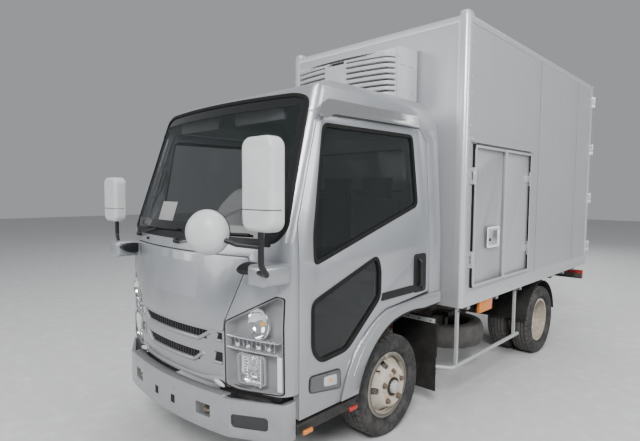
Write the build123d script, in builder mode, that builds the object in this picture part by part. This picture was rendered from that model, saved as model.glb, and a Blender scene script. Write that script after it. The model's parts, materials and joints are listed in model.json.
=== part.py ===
"""Refrigerated truck: forward-control tilting cab and insulated box on a ladder frame.

Millimetres. +X forward, +Y to the truck's left, +Z up, ground at Z = 0.
The origin is on the ground under the middle of the overall length and width.
"""

import os

from build123d import *

os.makedirs("parts", exist_ok=True)

# Overall layout
wheelbase = 2500
front_reach = 1470          # front axle to the foremost point, the under-view mirror
rear_reach = 4090           # front axle to the rearmost point, the rear door hinges
mirror_half_reach = 1105    # centre line to the outer edge of either main mirror
front_axle_x = (rear_reach - front_reach) / 2
rear_axle_x = front_axle_x - wheelbase
flat_gap = 0.3              # between a piece and the seat it lies on
panel_gap = 5               # between neighbouring body panels

# Wheels
tyre_radius = 346.5
tyre_width = 205
rim_flange_radius = 220.5
rim_width = 150
front_wheel_y = 700
rear_wheel_y = 717.5
twin_spacing = 236
axle_z = tyre_radius

# Ladder frame
rail_outer_y = 350
rail_width = 60
rail_bottom_z = 500
rail_height = 150
rail_wall = 8
rail_front_x = front_axle_x + 1030
rail_rear_x = front_axle_x - 4000
rail_top_z = rail_bottom_z + rail_height

# Cab
cab_half_width = 847.5
cab_wall = 45
cab_rear_x = front_axle_x - 540
cab_bottom_z = 440
roof_z = 2325
tilt_axis_x = front_axle_x + 1090
tilt_axis_z = 620

# Insulated box
box_half_width = 931
box_front_x = front_axle_x - 725
box_rear_x = front_axle_x - 4050
box_bottom_z = 773
box_floor_z = 895
box_top_z = 2972
box_wall = 75
box_roof_thickness = 80
rail_rim = 50


def store(part, name):
    """Label a finished piece and write it to its own file."""
    part.label = name
    export_step(part, f"parts/{name}.step")


def mirrored_pair(part):
    """The piece and its mirror image on the truck's other side."""
    return Compound(children=[part, part.mirror(Plane.XZ)])


# Section 1: chassis

bumper_front_x = front_axle_x + 1238
bumper_bottom_z = 345
bumper_top_z = 553
bumper_bow = 62
bumper_half_front = 560
bumper_corner_x = front_axle_x + 950
bumper_turn = 70
bumper_tip_x = bumper_corner_x - 10
bumper_half_width = 842
bumper_wall = 28
tow_opening = (115, 70)
tow_opening_y = 374
tow_opening_z = 451
plate_hole_pitch = 210
plate_hole_radius = 4
plate_hole_z = 500
fog_pocket = (190, 74)
fog_pocket_y = 668
fog_pocket_z = 438
fog_pocket_depth = 24
step_strip_half = 520
step_strip_rise = 10
step_strip_width = 60


bumper_arm_z = 445
bumper_arm_front_x = front_axle_x + 1183
bumper_arm_height = 90
nose_plate = (195, 16, 240)     # length, thickness, height of the plate at each rail's front end
nose_plate_front_x = tilt_axis_x - 15
nose_plate_x = nose_plate_front_x - nose_plate[0] / 2
nose_plate_y = rail_outer_y + nose_plate[1] / 2
nose_boss_radius = 21
tilt_pin_radius = 16
tilt_pin_length = 74
rear_bar_size = (44, 1810, 60)  # length, width, height of the bar that carries the tail lamps
rear_bar_z = 610

cross_member_depth = 90
bearer_stations = (-950, -1500, -2050, -2950, -3350, -3750)
cross_member_stations = (900, -700, -1500, -2150, -2950, -3900)
cross_member_height = 72

# Spare wheel lying flat under the left rail, hung from an arm
spare_x = front_axle_x - 1365
spare_y = 450
spare_z = rail_bottom_z - tyre_width / 2 - flat_gap
spare_arm_width = 110
spare_arm_height = 40
spare_arm_z = rail_bottom_z + 40
spare_arm_reach = spare_y + 60 - rail_outer_y
spare_stem_radius = 22

with BuildPart() as ladder_frame:
    rail_centre_y = rail_outer_y - rail_width / 2
    with BuildSketch(Plane.YZ.offset(rail_rear_x)):
        with Locations((rail_centre_y, rail_bottom_z + rail_height / 2)):
            Rectangle(rail_width, rail_height)
        with Locations((rail_centre_y - rail_wall / 2, rail_bottom_z + rail_height / 2)):
            Rectangle(rail_width - rail_wall, rail_height - 2 * rail_wall, mode=Mode.SUBTRACT)
    extrude(amount=rail_front_x - rail_rear_x)
    mirror(about=Plane.XZ)
    for station in cross_member_stations:
        with BuildSketch(Plane.XZ.offset(-(rail_outer_y - rail_wall))):
            with Locations((front_axle_x + station, rail_top_z - rail_wall - cross_member_height / 2)):
                Rectangle(cross_member_depth, cross_member_height)
        extrude(amount=2 * (rail_outer_y - rail_wall))
    for side in (-1, 1):
        with Locations((nose_plate_x, side * nose_plate_y, rail_bottom_z + 20)):
            Box(*nose_plate)
        with BuildSketch(Plane.XZ.offset(-side * rail_outer_y)):
            with Locations((tilt_axis_x, tilt_axis_z)):
                Circle(nose_boss_radius)
        extrude(amount=-side * nose_plate[1])
        with BuildSketch(Plane.XZ.offset(-side * (rail_outer_y + nose_plate[1]))):
            with Locations((tilt_axis_x, tilt_axis_z)):
                Circle(tilt_pin_radius)
        extrude(amount=-side * tilt_pin_length)
        with Locations(((rail_front_x + bumper_arm_front_x) / 2, side * nose_plate_y, bumper_arm_z)):
            Box(bumper_arm_front_x - rail_front_x, nose_plate[1], bumper_arm_height)
    with Locations((rail_rear_x - rear_bar_size[0] / 2, 0, rear_bar_z)):
        Box(*rear_bar_size)
    with Locations((spare_x, rail_outer_y + spare_arm_reach / 2, spare_arm_z)):
        Box(spare_arm_width, spare_arm_reach, spare_arm_height)
store(ladder_frame.part, "ladder_frame")

# Bumper: a shallow channel bowed in plan, with tow-eye openings


def bumper_plan(inset):
    """Plan outline of the bumper, moved inwards by inset."""
    front_x = bumper_front_x - inset
    half_width = bumper_half_width - inset
    shoulder = (front_x - bumper_bow, bumper_half_front)
    with BuildSketch() as plan:
        with BuildLine():
            ThreePointArc((shoulder[0], -shoulder[1]), (front_x, 0), shoulder)
            Polyline(
                shoulder,
                (bumper_corner_x + bumper_turn, half_width),
                (bumper_tip_x - inset, half_width),
                (bumper_tip_x - inset, -half_width),
                (bumper_corner_x + bumper_turn, -half_width),
                (shoulder[0], -shoulder[1]),
            )
        make_face()
    return plan.sketch


with BuildPart() as front_bumper:
    with BuildSketch(Plane.XY.offset(bumper_bottom_z)):
        add(bumper_plan(0))
    extrude(amount=bumper_top_z - bumper_bottom_z)
    with BuildSketch(Plane.XY.offset(bumper_bottom_z)):
        add(bumper_plan(bumper_wall))
    extrude(amount=bumper_top_z - bumper_bottom_z, mode=Mode.SUBTRACT)
    with BuildSketch(Plane.YZ.offset(bumper_front_x - 200)):
        with Locations((-tow_opening_y, tow_opening_z), (tow_opening_y, tow_opening_z)):
            Rectangle(*tow_opening)
        with Locations((-plate_hole_pitch / 2, plate_hole_z), (plate_hole_pitch / 2, plate_hole_z)):
            Circle(plate_hole_radius)
        with Locations((-fog_pocket_y, fog_pocket_z), (fog_pocket_y, fog_pocket_z)):
            RectangleRounded(*fog_pocket, 20)
    extrude(amount=400, mode=Mode.SUBTRACT)
    with BuildSketch(Plane.XY.offset(bumper_top_z)):
        add(bumper_plan(0))
        add(bumper_plan(step_strip_width), mode=Mode.SUBTRACT)
        with Locations((bumper_front_x - 400, 0)):
            Rectangle(900, 2 * step_strip_half, mode=Mode.INTERSECT)
    extrude(amount=step_strip_rise)
store(front_bumper.part, "front_bumper")

# Front axle: dropped I-beam with a king pin through each end
king_pin_y = 575
king_pin_radius = 14
king_pin_boss_radius = 30
king_pin_boss_height = 84
beam_depth = 70
beam_drop = 60

with BuildPart() as front_axle:
    with BuildSketch(Plane.YZ.offset(front_axle_x - beam_depth / 2)):
        with BuildLine():
            Polyline(
                (-king_pin_y, axle_z + 30),
                (-king_pin_y, axle_z - 30),
                (-420, axle_z - beam_drop - 35),
                (420, axle_z - beam_drop - 35),
                (king_pin_y, axle_z - 30),
                (king_pin_y, axle_z + 30),
                (380, axle_z - beam_drop + 30),
                (-380, axle_z - beam_drop + 30),
                close=True,
            )
        make_face()
    extrude(amount=beam_depth)
    with BuildSketch(Plane.XY.offset(axle_z - king_pin_boss_height / 2)):
        with Locations((front_axle_x, -king_pin_y), (front_axle_x, king_pin_y)):
            Circle(king_pin_boss_radius)
    extrude(amount=king_pin_boss_height)
    with BuildSketch(Plane.XY.offset(axle_z - king_pin_boss_height)):
        with Locations((front_axle_x, -king_pin_y), (front_axle_x, king_pin_y)):
            Circle(king_pin_radius)
    extrude(amount=2 * king_pin_boss_height)
store(front_axle.part, "front_axle")

# Knuckle: a yoke over the king pin boss, with the wheel spindle and brake plate
yoke_arm = 26
yoke_gap = 3
yoke_plate_y = king_pin_y + king_pin_boss_radius + 6
yoke_plate = 18
spindle_radius = 24
spindle_end_y = front_wheel_y + 90
brake_plate_radius = 165
running_gap = 0.3


def make_knuckle():
    """Left-hand knuckle."""
    arm_low = king_pin_boss_height / 2 + yoke_gap
    with BuildPart() as knuckle:
        with BuildSketch(Plane.XZ.offset(-yoke_plate_y)):
            with Locations((front_axle_x, axle_z)):
                Circle(brake_plate_radius)
        extrude(amount=-yoke_plate)
        with BuildSketch(Plane.XZ.offset(-(yoke_plate_y + yoke_plate))):
            with Locations((front_axle_x, axle_z)):
                Circle(spindle_radius)
        extrude(amount=-(spindle_end_y - yoke_plate_y - yoke_plate))
        for side in (-1, 1):
            low = axle_z + (arm_low if side > 0 else -arm_low - yoke_arm)
            with BuildSketch(Plane.XY.offset(low)):
                with Locations((front_axle_x, king_pin_y)):
                    Circle(king_pin_boss_radius)
                with Locations((front_axle_x, (king_pin_y + yoke_plate_y) / 2 + 2)):
                    Rectangle(2 * king_pin_boss_radius, yoke_plate_y - king_pin_y + 4)
                with Locations((front_axle_x, king_pin_y)):
                    Circle(king_pin_radius + running_gap, mode=Mode.SUBTRACT)
            extrude(amount=yoke_arm)
    return knuckle.part


left_knuckle = make_knuckle()
store(left_knuckle, "knuckle_left")
store(left_knuckle.mirror(Plane.XZ), "knuckle_right")


# Wheels: a drop-centre rim with a dished disc, and a radial tyre
rim_wall = 8
rim_seat_radius = 204
rim_lip = 11
disc_face_radius = 132
disc_shoulder_radius = 182
disc_wall = 10
disc_offset = 112
disc_root_depth = 34
hub_radius = 62
hand_hole_radius = 24
hand_hole_circle = 160
hand_holes = 5
tyre_bead_gap = 0.3


def wheel_plane(axle_x):
    """Sketch plane across the truck at an axle: local x is +Y, local y is +Z."""
    return Plane(origin=(axle_x, 0, axle_z), x_dir=(0, 1, 0), z_dir=(1, 0, 0))


def axle_line(axle_x):
    """The wheels' turning axis at an axle."""
    return Axis((axle_x, 0, axle_z), (0, 1, 0))


def rim_section(centre, out, face_y):
    """Half section of rim and disc: centre is the rim's mid plane, out is +1 where the disc faces +Y."""
    edge = rim_width / 2
    inner = rim_seat_radius - rim_wall
    root = centre + out * (edge - disc_root_depth)
    with BuildSketch() as section:
        Polygon(
            (centre - edge, inner),
            (centre - edge, rim_flange_radius),
            (centre - edge + rim_lip, rim_flange_radius),
            (centre - edge + rim_lip, rim_seat_radius),
            (centre + edge - rim_lip, rim_seat_radius),
            (centre + edge - rim_lip, rim_flange_radius),
            (centre + edge, rim_flange_radius),
            (centre + edge, inner),
            align=None,
        )
        Polygon(
            (root - out * disc_wall, inner + 1),
            (root - out * disc_wall, disc_shoulder_radius),
            (face_y - out * disc_wall, disc_face_radius - disc_wall / 2),
            (face_y - out * disc_wall, 0),
            (face_y, 0),
            (face_y, disc_face_radius),
            (root, disc_shoulder_radius + 4),
            (root, inner + 1),
            align=None,
        )
    return section.sketch


def make_rim(axle_x, centre, out):
    """One rim with its disc on the out side, five hand holes through the disc's slope."""
    face_y = centre + out * disc_offset
    with BuildPart() as rim:
        with BuildSketch(wheel_plane(axle_x)):
            add(rim_section(centre, out, face_y))
        revolve(axis=axle_line(axle_x))
        with BuildSketch(Plane(origin=(axle_x, centre, axle_z), x_dir=(1, 0, 0), z_dir=(0, out, 0))):
            with PolarLocations(hand_hole_circle, hand_holes):
                Circle(hand_hole_radius)
        extrude(amount=disc_offset, mode=Mode.SUBTRACT)
    return rim.part


def make_tyre(axle_x, centre):
    """One tyre, from the bead seat to the tread."""
    bead = rim_width / 2 - rim_lip - tyre_bead_gap
    side = tyre_width / 2
    inner = rim_seat_radius + tyre_bead_gap
    shoulder = tyre_radius - 24
    with BuildPart() as tyre:
        with BuildSketch(wheel_plane(axle_x)):
            with BuildLine():
                base = Line((centre - bead, inner), (centre + bead, inner))
                wall = Line(base @ 1, (centre + bead, rim_flange_radius + 2))
                out = ThreePointArc(wall @ 1, (centre + side, 278), (centre + side - 8, shoulder))
                edge = ThreePointArc(
                    out @ 1, (centre + side - 15, tyre_radius - 9), (centre + side - 29, tyre_radius - 2)
                )
                tread = ThreePointArc(edge @ 1, (centre, tyre_radius), (centre - side + 29, tyre_radius - 2))
                back = ThreePointArc(
                    tread @ 1, (centre - side + 15, tyre_radius - 9), (centre - side + 8, shoulder)
                )
                inside = ThreePointArc(back @ 1, (centre - side, 278), (centre - bead, rim_flange_radius + 2))
                Line(inside @ 1, base @ 0)
            make_face()
        revolve(axis=axle_line(axle_x))
    return tyre.part


drum_radius = 150
drum_wall = 12
drum_depth = 146
drum_inner_y = yoke_plate_y + yoke_plate + 5
hub_cap_radius = 42
hub_cap_length = 26
hub_overlap = 60
stud_circle = 104
stud_radius = 10
stud_length = 16
studs = 5


def make_front_rim():
    """Left front rim with the hub and drum that turn on the spindle."""
    face_y = front_wheel_y + disc_offset
    with BuildPart() as wheel:
        add(make_rim(front_axle_x, front_wheel_y, 1))
        with BuildSketch(Plane.XZ.offset(-(spindle_end_y - hub_overlap))):
            with Locations((front_axle_x, axle_z)):
                Circle(hub_radius)
        extrude(amount=-(face_y - disc_wall - spindle_end_y + hub_overlap))
        with BuildSketch(Plane.XZ.offset(-drum_inner_y)):
            with Locations((front_axle_x, axle_z)):
                Circle(drum_radius)
                Circle(drum_radius - drum_wall, mode=Mode.SUBTRACT)
        extrude(amount=-drum_depth)
        with BuildSketch(Plane.XZ.offset(-(drum_inner_y + drum_depth - drum_wall))):
            with Locations((front_axle_x, axle_z)):
                Circle(drum_radius)
        extrude(amount=-drum_wall)
        with BuildSketch(Plane.XZ.offset(-face_y)):
            with Locations((front_axle_x, axle_z)):
                Circle(hub_cap_radius)
        extrude(amount=-hub_cap_length)
        with BuildSketch(Plane.XZ.offset(-face_y)):
            with Locations((front_axle_x, axle_z)):
                with PolarLocations(stud_circle, studs):
                    Circle(stud_radius)
        extrude(amount=-stud_length)
        with BuildSketch(Plane.XZ.offset(-(spindle_end_y - hub_overlap - 10))):
            with Locations((front_axle_x, axle_z)):
                Circle(spindle_radius + running_gap)
        extrude(amount=-(hub_overlap + 10 + 4 * running_gap), mode=Mode.SUBTRACT)
    return wheel.part


front_rim = make_front_rim()
front_tyre = make_tyre(front_axle_x, front_wheel_y)
store(front_rim, "front_rim_left")
store(front_tyre, "front_tyre_left")
store(front_rim.mirror(Plane.XZ), "front_rim_right")
store(front_tyre.mirror(Plane.XZ), "front_tyre_right")

# Rear axle: tube, differential and the drive flanges' running stubs
axle_tube_radius = 48
differential_radius = 150
differential_half_width = 95
stub_radius = 34
stub_end_y = rear_wheel_y + 60
rear_hub_inner_y = rear_wheel_y - 66
rear_drum_inner_y = 506
rear_backing_radius = 165
rear_backing_wall = 8

with BuildPart() as rear_axle:
    with BuildSketch(wheel_plane(rear_axle_x)):
        with BuildLine():
            Polyline(
                (-stub_end_y, 0),
                (-stub_end_y, stub_radius),
                (-rear_hub_inner_y + 60, stub_radius),
                (-rear_hub_inner_y + 60, axle_tube_radius),
                (-differential_half_width, axle_tube_radius + 12),
                (-differential_half_width / 2, differential_radius),
                (differential_half_width / 2, differential_radius),
                (differential_half_width, axle_tube_radius + 12),
                (rear_hub_inner_y - 60, axle_tube_radius),
                (rear_hub_inner_y - 60, stub_radius),
                (stub_end_y, stub_radius),
                (stub_end_y, 0),
                close=True,
            )
        make_face()
    revolve(axis=axle_line(rear_axle_x))
    with BuildSketch(Plane.YZ.offset(rear_axle_x + 100)):
        with Locations((0, axle_z)):
            Circle(62)
    extrude(amount=110)
    with BuildSketch(Plane.XZ.offset(-(rear_drum_inner_y - rear_backing_wall - 5))):
        with Locations((rear_axle_x, axle_z)):
            Circle(rear_backing_radius)
    extrude(amount=-rear_backing_wall)
    mirror(about=Plane.XZ)
store(rear_axle.part, "rear_axle")


def make_rear_rims():
    """Left pair of rear rims, disc to disc on one hub."""
    with BuildPart() as pair:
        add(make_rim(rear_axle_x, rear_wheel_y + twin_spacing / 2, -1))
        add(make_rim(rear_axle_x, rear_wheel_y - twin_spacing / 2, 1))
        with BuildSketch(Plane.XZ.offset(-(rear_drum_inner_y + drum_depth - drum_wall))):
            with Locations((rear_axle_x, axle_z)):
                Circle(hub_radius + 20)
        extrude(amount=-(stub_end_y + 14 - rear_drum_inner_y - drum_depth + drum_wall))
        with BuildSketch(Plane.XZ.offset(-rear_drum_inner_y)):
            with Locations((rear_axle_x, axle_z)):
                Circle(drum_radius)
                Circle(drum_radius - drum_wall, mode=Mode.SUBTRACT)
        extrude(amount=-drum_depth)
        with BuildSketch(Plane.XZ.offset(-(rear_drum_inner_y + drum_depth - drum_wall))):
            with Locations((rear_axle_x, axle_z)):
                Circle(drum_radius)
        extrude(amount=-drum_wall)
        with BuildSketch(Plane.XZ.offset(-(rear_wheel_y + disc_wall))):
            with Locations((rear_axle_x, axle_z)):
                with PolarLocations(stud_circle, studs):
                    Circle(stud_radius)
        extrude(amount=-(2 * disc_wall + stud_length))
        with BuildSketch(Plane.XZ.offset(-rear_drum_inner_y)):
            with Locations((rear_axle_x, axle_z)):
                Circle(stub_radius + running_gap)
        extrude(amount=-(stub_end_y + 2 * running_gap - rear_drum_inner_y), mode=Mode.SUBTRACT)
    return pair.part


rear_rims = make_rear_rims()
with BuildPart() as rear_tyres:
    add(make_tyre(rear_axle_x, rear_wheel_y + twin_spacing / 2))
    add(make_tyre(rear_axle_x, rear_wheel_y - twin_spacing / 2))
store(rear_rims, "rear_rims_left")
store(rear_tyres.part, "rear_tyres_left")
store(rear_rims.mirror(Plane.XZ), "rear_rims_right")
store(rear_tyres.part.mirror(Plane.XZ), "rear_tyres_right")

# Leaf springs under the rails
spring_width = 60
spring_y = 310
eye_low_z = rail_bottom_z - 50
eye_top_z = rail_bottom_z - flat_gap
eye_length = 60
spring_rows = (
    # axle station, half length, thickness, height of the seat on the axle
    (front_axle_x, 560, 26, axle_z - beam_drop + 30 + flat_gap),
    (rear_axle_x, 600, 40, axle_z + axle_tube_radius + 14 + flat_gap),
)

with BuildPart() as leaf_springs:
    for station, half_length, thickness, seat_z in spring_rows:
        front_end = station + half_length
        rear_end = station - half_length
        with BuildSketch(Plane.XZ.offset(-(spring_y - spring_width / 2))):
            with BuildLine():
                low = ThreePointArc((rear_end, eye_low_z), (station, seat_z), (front_end, eye_low_z))
                Line(low @ 1, (front_end, eye_top_z))
                Line((front_end, eye_top_z), (front_end - eye_length, eye_top_z))
                high = ThreePointArc(
                    (front_end - eye_length, eye_top_z),
                    (station, seat_z + thickness),
                    (rear_end + eye_length, eye_top_z),
                )
                Line(high @ 1, (rear_end, eye_top_z))
                Line((rear_end, eye_top_z), low @ 0)
            make_face()
        extrude(amount=-spring_width)
    mirror(about=Plane.XZ)
store(leaf_springs.part, "leaf_springs")

# Engine and gearbox, one plain block between the rails
engine_size = (900, 480, 460)
engine_centre = (front_axle_x - 60, 0, 600)
engine_rear_x = engine_centre[0] - engine_size[0] / 2
engine_mount_half_width = rail_outer_y - rail_wall - flat_gap

with BuildPart() as engine_block:
    with Locations(engine_centre):
        Box(*engine_size)
    with Locations((engine_centre[0] + 120, 0, rail_bottom_z + rail_height / 2)):
        Box(120, 2 * engine_mount_half_width, 70)
store(engine_block.part, "engine_block")

# Propeller shaft from the gearbox to the differential
shaft_radius = 38
shaft_front_x = engine_rear_x - 8
shaft_rear_x = rear_axle_x + 210 + flat_gap
shaft_front_z = 520
shaft_flange_radius = 52
shaft_flange_length = 30

with BuildPart() as prop_shaft:
    start = Vector(shaft_front_x, 0, shaft_front_z)
    finish = Vector(shaft_rear_x, 0, axle_z)
    with BuildSketch(Plane(origin=start, z_dir=finish - start)):
        Circle(shaft_radius)
    extrude(amount=(finish - start).length - 26)
    with BuildSketch(Plane.YZ.offset(engine_rear_x - flat_gap)):
        with Locations((0, shaft_front_z)):
            Circle(shaft_flange_radius)
    extrude(amount=-shaft_flange_length)
    with BuildSketch(Plane.YZ.offset(shaft_rear_x)):
        with Locations((0, axle_z)):
            Circle(shaft_flange_radius)
    extrude(amount=shaft_flange_length + 26)
store(prop_shaft.part, "prop_shaft")

# Fuel tank on the right rail
tank_size = (620, 350, 260)
tank_x = front_axle_x - 1080
tank_radius = 50
tank_strap = (44, 5)
tank_strap_stations = (-190, 190)
tank_y = -(rail_outer_y + flat_gap + tank_strap[1] + tank_size[1] / 2)
tank_z = rail_top_z - 20 - tank_size[2] / 2

with BuildPart() as fuel_tank:
    with BuildSketch(Plane.YZ.offset(tank_x - tank_size[0] / 2)):
        with Locations((tank_y, tank_z)):
            RectangleRounded(tank_size[1], tank_size[2], tank_radius)
    extrude(amount=tank_size[0])
    for station in tank_strap_stations:
        with BuildSketch(Plane.YZ.offset(tank_x + station - tank_strap[0] / 2)):
            with Locations((tank_y, tank_z)):
                strap_outline = (tank_size[1] + 2 * tank_strap[1], tank_size[2] + 2 * tank_strap[1])
                RectangleRounded(*strap_outline, tank_radius)
        extrude(amount=tank_strap[0])
    with BuildSketch(Plane.XZ.offset(-(tank_y - tank_size[1] / 2))):
        with Locations((tank_x + 220, tank_z + 40)):
            Circle(46)
    extrude(amount=34)
store(fuel_tank.part, "fuel_tank")

# Battery box behind the left front wheel
battery_size = (190, 260, 300)
battery_x = front_axle_x - 860
with BuildPart() as battery_box:
    with Locations((battery_x, rail_outer_y + flat_gap + battery_size[1] / 2, 400)):
        Box(*battery_size)
    fillet(battery_box.edges().filter_by(Axis.Z), 12)
store(battery_box.part, "battery_box")

# Spare wheel
spare_stem_top_z = spare_arm_z - spare_arm_height / 2 - flat_gap
with BuildPart() as spare_wheel:
    with BuildSketch(Plane(origin=(spare_x, spare_y, spare_z), x_dir=(1, 0, 0), z_dir=(0, -1, 0))):
        with BuildLine():
            side = tyre_width / 2
            Polyline((0, -30), (rim_seat_radius, -30), (rim_seat_radius, -80), (rim_flange_radius + 2, -80))
            Line((rim_flange_radius + 2, -80), (rim_flange_radius + 4, -90))
            ThreePointArc((rim_flange_radius + 4, -90), (278, -side), (tyre_radius - 26, -side + 10))
            ThreePointArc((tyre_radius - 26, -side + 10), (tyre_radius, 0), (tyre_radius - 26, side - 10))
            ThreePointArc((tyre_radius - 26, side - 10), (278, side), (rim_flange_radius + 4, 90))
            Polyline(
                (rim_flange_radius + 4, 90),
                (rim_flange_radius + 2, 80),
                (rim_seat_radius, 80),
                (rim_seat_radius, -16),
                (0, -16),
                (0, -30),
            )
        make_face()
    revolve(axis=Axis((spare_x, spare_y, spare_z), (0, 0, 1)))
    with BuildSketch(Plane.XY.offset(spare_z - 20)):
        with Locations((spare_x, spare_y)):
            Circle(spare_stem_radius)
    extrude(amount=spare_stem_top_z - spare_z + 20)
store(spare_wheel.part, "spare_wheel")

# Exhaust: pipe from the engine and an oval silencer inside the right rail
silencer_rear_x = front_axle_x - 2050
silencer_length = 520
silencer_half = (105, 68)
exhaust_y = -165
exhaust_z = 430
exhaust_pipe_radius = 27
tail_pipe_length = 130

with BuildPart() as exhaust:
    with BuildSketch(Plane.YZ.offset(silencer_rear_x)):
        with Locations((exhaust_y, exhaust_z)):
            Ellipse(*silencer_half)
    extrude(amount=silencer_length)
    with BuildSketch(Plane.YZ.offset(silencer_rear_x - tail_pipe_length)):
        with Locations((exhaust_y, exhaust_z)):
            Circle(exhaust_pipe_radius)
    extrude(amount=engine_rear_x - flat_gap - silencer_rear_x + tail_pipe_length)
store(exhaust.part, "exhaust")

# Side guards: hooped uprights carrying a low tube
guard_tube_radius = 17
guard_y = 880
guard_low_z = 300
guard_front_x = front_axle_x - 640
guard_rear_x = front_axle_x - 2000
guard_top_z = box_bottom_z - flat_gap
guard_uprights = (-760, -1900)

with BuildPart() as guard:
    with BuildLine():
        FilletPolyline(
            (guard_front_x, guard_y - 120, guard_low_z),
            (guard_front_x - 60, guard_y, guard_low_z),
            (guard_rear_x, guard_y, guard_low_z),
            radius=40,
        )
    with BuildSketch(Plane(origin=(guard_front_x, guard_y - 120, guard_low_z), z_dir=(-60, 120, 0))):
        Circle(guard_tube_radius)
    sweep()
    for station in guard_uprights:
        with BuildSketch(Plane.XY.offset(guard_low_z)):
            with Locations((front_axle_x + station, guard_y)):
                Rectangle(30, 20)
        extrude(amount=guard_top_z - guard_low_z)
store(mirrored_pair(guard.part), "side_guards")

# Mud flaps behind the front wheels and arched guards over the rear wheels
flap_x = front_axle_x - 560
arch_radius = 410
arch_wall = 8
arch_inner_y = 470
arch_stay = (60, 30)
arch_stay_y = box_half_width - 26
flap_size = (6, 400, 580)
flap_y = 620
flap_z = 430
flap_hanger = (24, 30)
flap_hanger_z = rail_bottom_z + rail_height - 30

with BuildPart() as mudguard:
    with BuildSketch(Plane.XZ.offset(-arch_inner_y)):
        with Locations((rear_axle_x, axle_z)):
            Circle(arch_radius)
            Circle(arch_radius - arch_wall, mode=Mode.SUBTRACT)
        with Locations((rear_axle_x, axle_z - arch_radius + 60)):
            Rectangle(3 * arch_radius, 2 * arch_radius, mode=Mode.SUBTRACT)
    extrude(amount=-(box_half_width - arch_inner_y - 6))
    with BuildSketch(Plane.XY.offset(axle_z + arch_radius - 4)):
        with Locations((rear_axle_x, arch_stay_y)):
            Rectangle(*arch_stay)
    extrude(amount=box_bottom_z - flat_gap - axle_z - arch_radius + 4)
with BuildPart() as flap:
    with Locations((flap_x + flap_size[0] / 2, flap_y, flap_z)):
        Box(*flap_size)
    hanger_length = flap_y + flap_size[1] / 2 - rail_outer_y - flat_gap
    with Locations((flap_x - flap_hanger[0] / 2, rail_outer_y + flat_gap + hanger_length / 2, flap_hanger_z)):
        Box(flap_hanger[0], hanger_length, flap_hanger[1])
guard_solids = [*mirrored_pair(mudguard.part).children, *mirrored_pair(flap.part).children]
store(Compound(children=guard_solids), "mudguards")

# Section 2: insulated box

front_post = (60, 80)
front_post_radius = 34
rear_post = (60, 70)
panel_inset = 3
deck_rise = 5                   # the load deck over the walls' seats
sill_height = box_floor_z - deck_rise - box_bottom_z
inner_front_x = box_front_x - box_wall
wall_low_z = box_floor_z - deck_rise
wall_high_z = box_top_z - rail_rim
body_length = box_front_x - box_rear_x
body_middle_x = (box_front_x + box_rear_x) / 2
panel_front_x = box_front_x - front_post[0]
panel_rear_x = box_rear_x + rear_post[0]
floor_thickness = 90
bearer_thickness = 50
sill_beam_height = 70
deck_gap = 2

with BuildPart() as box_floor:
    with BuildSketch(Plane.XY.offset(box_floor_z - floor_thickness)):
        with Locations((body_middle_x, 0)):
            Rectangle(body_length - 2 * rail_rim, 2 * (box_half_width - rail_rim))
    extrude(amount=floor_thickness - deck_rise)
    deck_front_x = inner_front_x - deck_gap
    deck_rear_x = panel_rear_x + deck_gap
    with BuildSketch(Plane.XY.offset(wall_low_z)):
        with Locations(((deck_front_x + deck_rear_x) / 2, 0)):
            Rectangle(deck_front_x - deck_rear_x, 2 * (box_half_width - box_wall - deck_gap))
    extrude(amount=deck_rise)
    with BuildSketch(Plane.XY.offset(rail_top_z + sill_beam_height)):
        for station in bearer_stations:
            with Locations((front_axle_x + station, 0)):
                Rectangle(bearer_thickness, 2 * (box_half_width - rail_rim))
    extrude(amount=box_floor_z - floor_thickness - rail_top_z - sill_beam_height)
    with BuildSketch(Plane.XY.offset(rail_top_z)):
        sill_beam_y = rail_outer_y - rail_width / 2
        with Locations((body_middle_x, sill_beam_y), (body_middle_x, -sill_beam_y)):
            Rectangle(body_length - 200, rail_width)
    extrude(amount=sill_beam_height)
store(box_floor.part, "box_floor")

# Aluminium edge frame: sills, top rails, front posts and the rear door frame
rear_frame_width = 50
door_low_z = box_floor_z - 20
door_high_z = wall_high_z

# Hinges: barrels on a pin line beside each leaf, the middle one on the leaf and its neighbours on the body
barrel_radius = 11
barrel_gap = 0.3
leaf_barrel = 60
body_barrel = 34
strap_thickness = 8
rear_pin_x = box_rear_x - 14
rear_pin_y = box_half_width + 14
rear_hinge_heights = (1000, 1600, 2200, 2780)
side_pin_y = box_half_width + 10
side_hinge_heights = (1140, 1790)
strap_reach = 95

corner_cap = (92, 92, 38)
corner_cap_radius = 34


def body_barrels(pin_x, pin_y, heights):
    """The barrels above and below each leaf barrel of a pin line."""
    with BuildPart() as barrels:
        for height in heights:
            for side in (-1, 1):
                low = height + side * (leaf_barrel / 2 + barrel_gap) - (body_barrel if side < 0 else 0)
                with BuildSketch(Plane.XY.offset(low)):
                    with Locations((pin_x, pin_y)):
                        Circle(barrel_radius)
                extrude(amount=body_barrel)
    return barrels.part


def leaf_barrels(pin_x, pin_y, heights):
    """The leaf's own barrels of a pin line."""
    with BuildPart() as barrels:
        for height in heights:
            with BuildSketch(Plane.XY.offset(height - leaf_barrel / 2)):
                with Locations((pin_x, pin_y)):
                    Circle(barrel_radius)
            extrude(amount=leaf_barrel)
    return barrels.part


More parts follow.
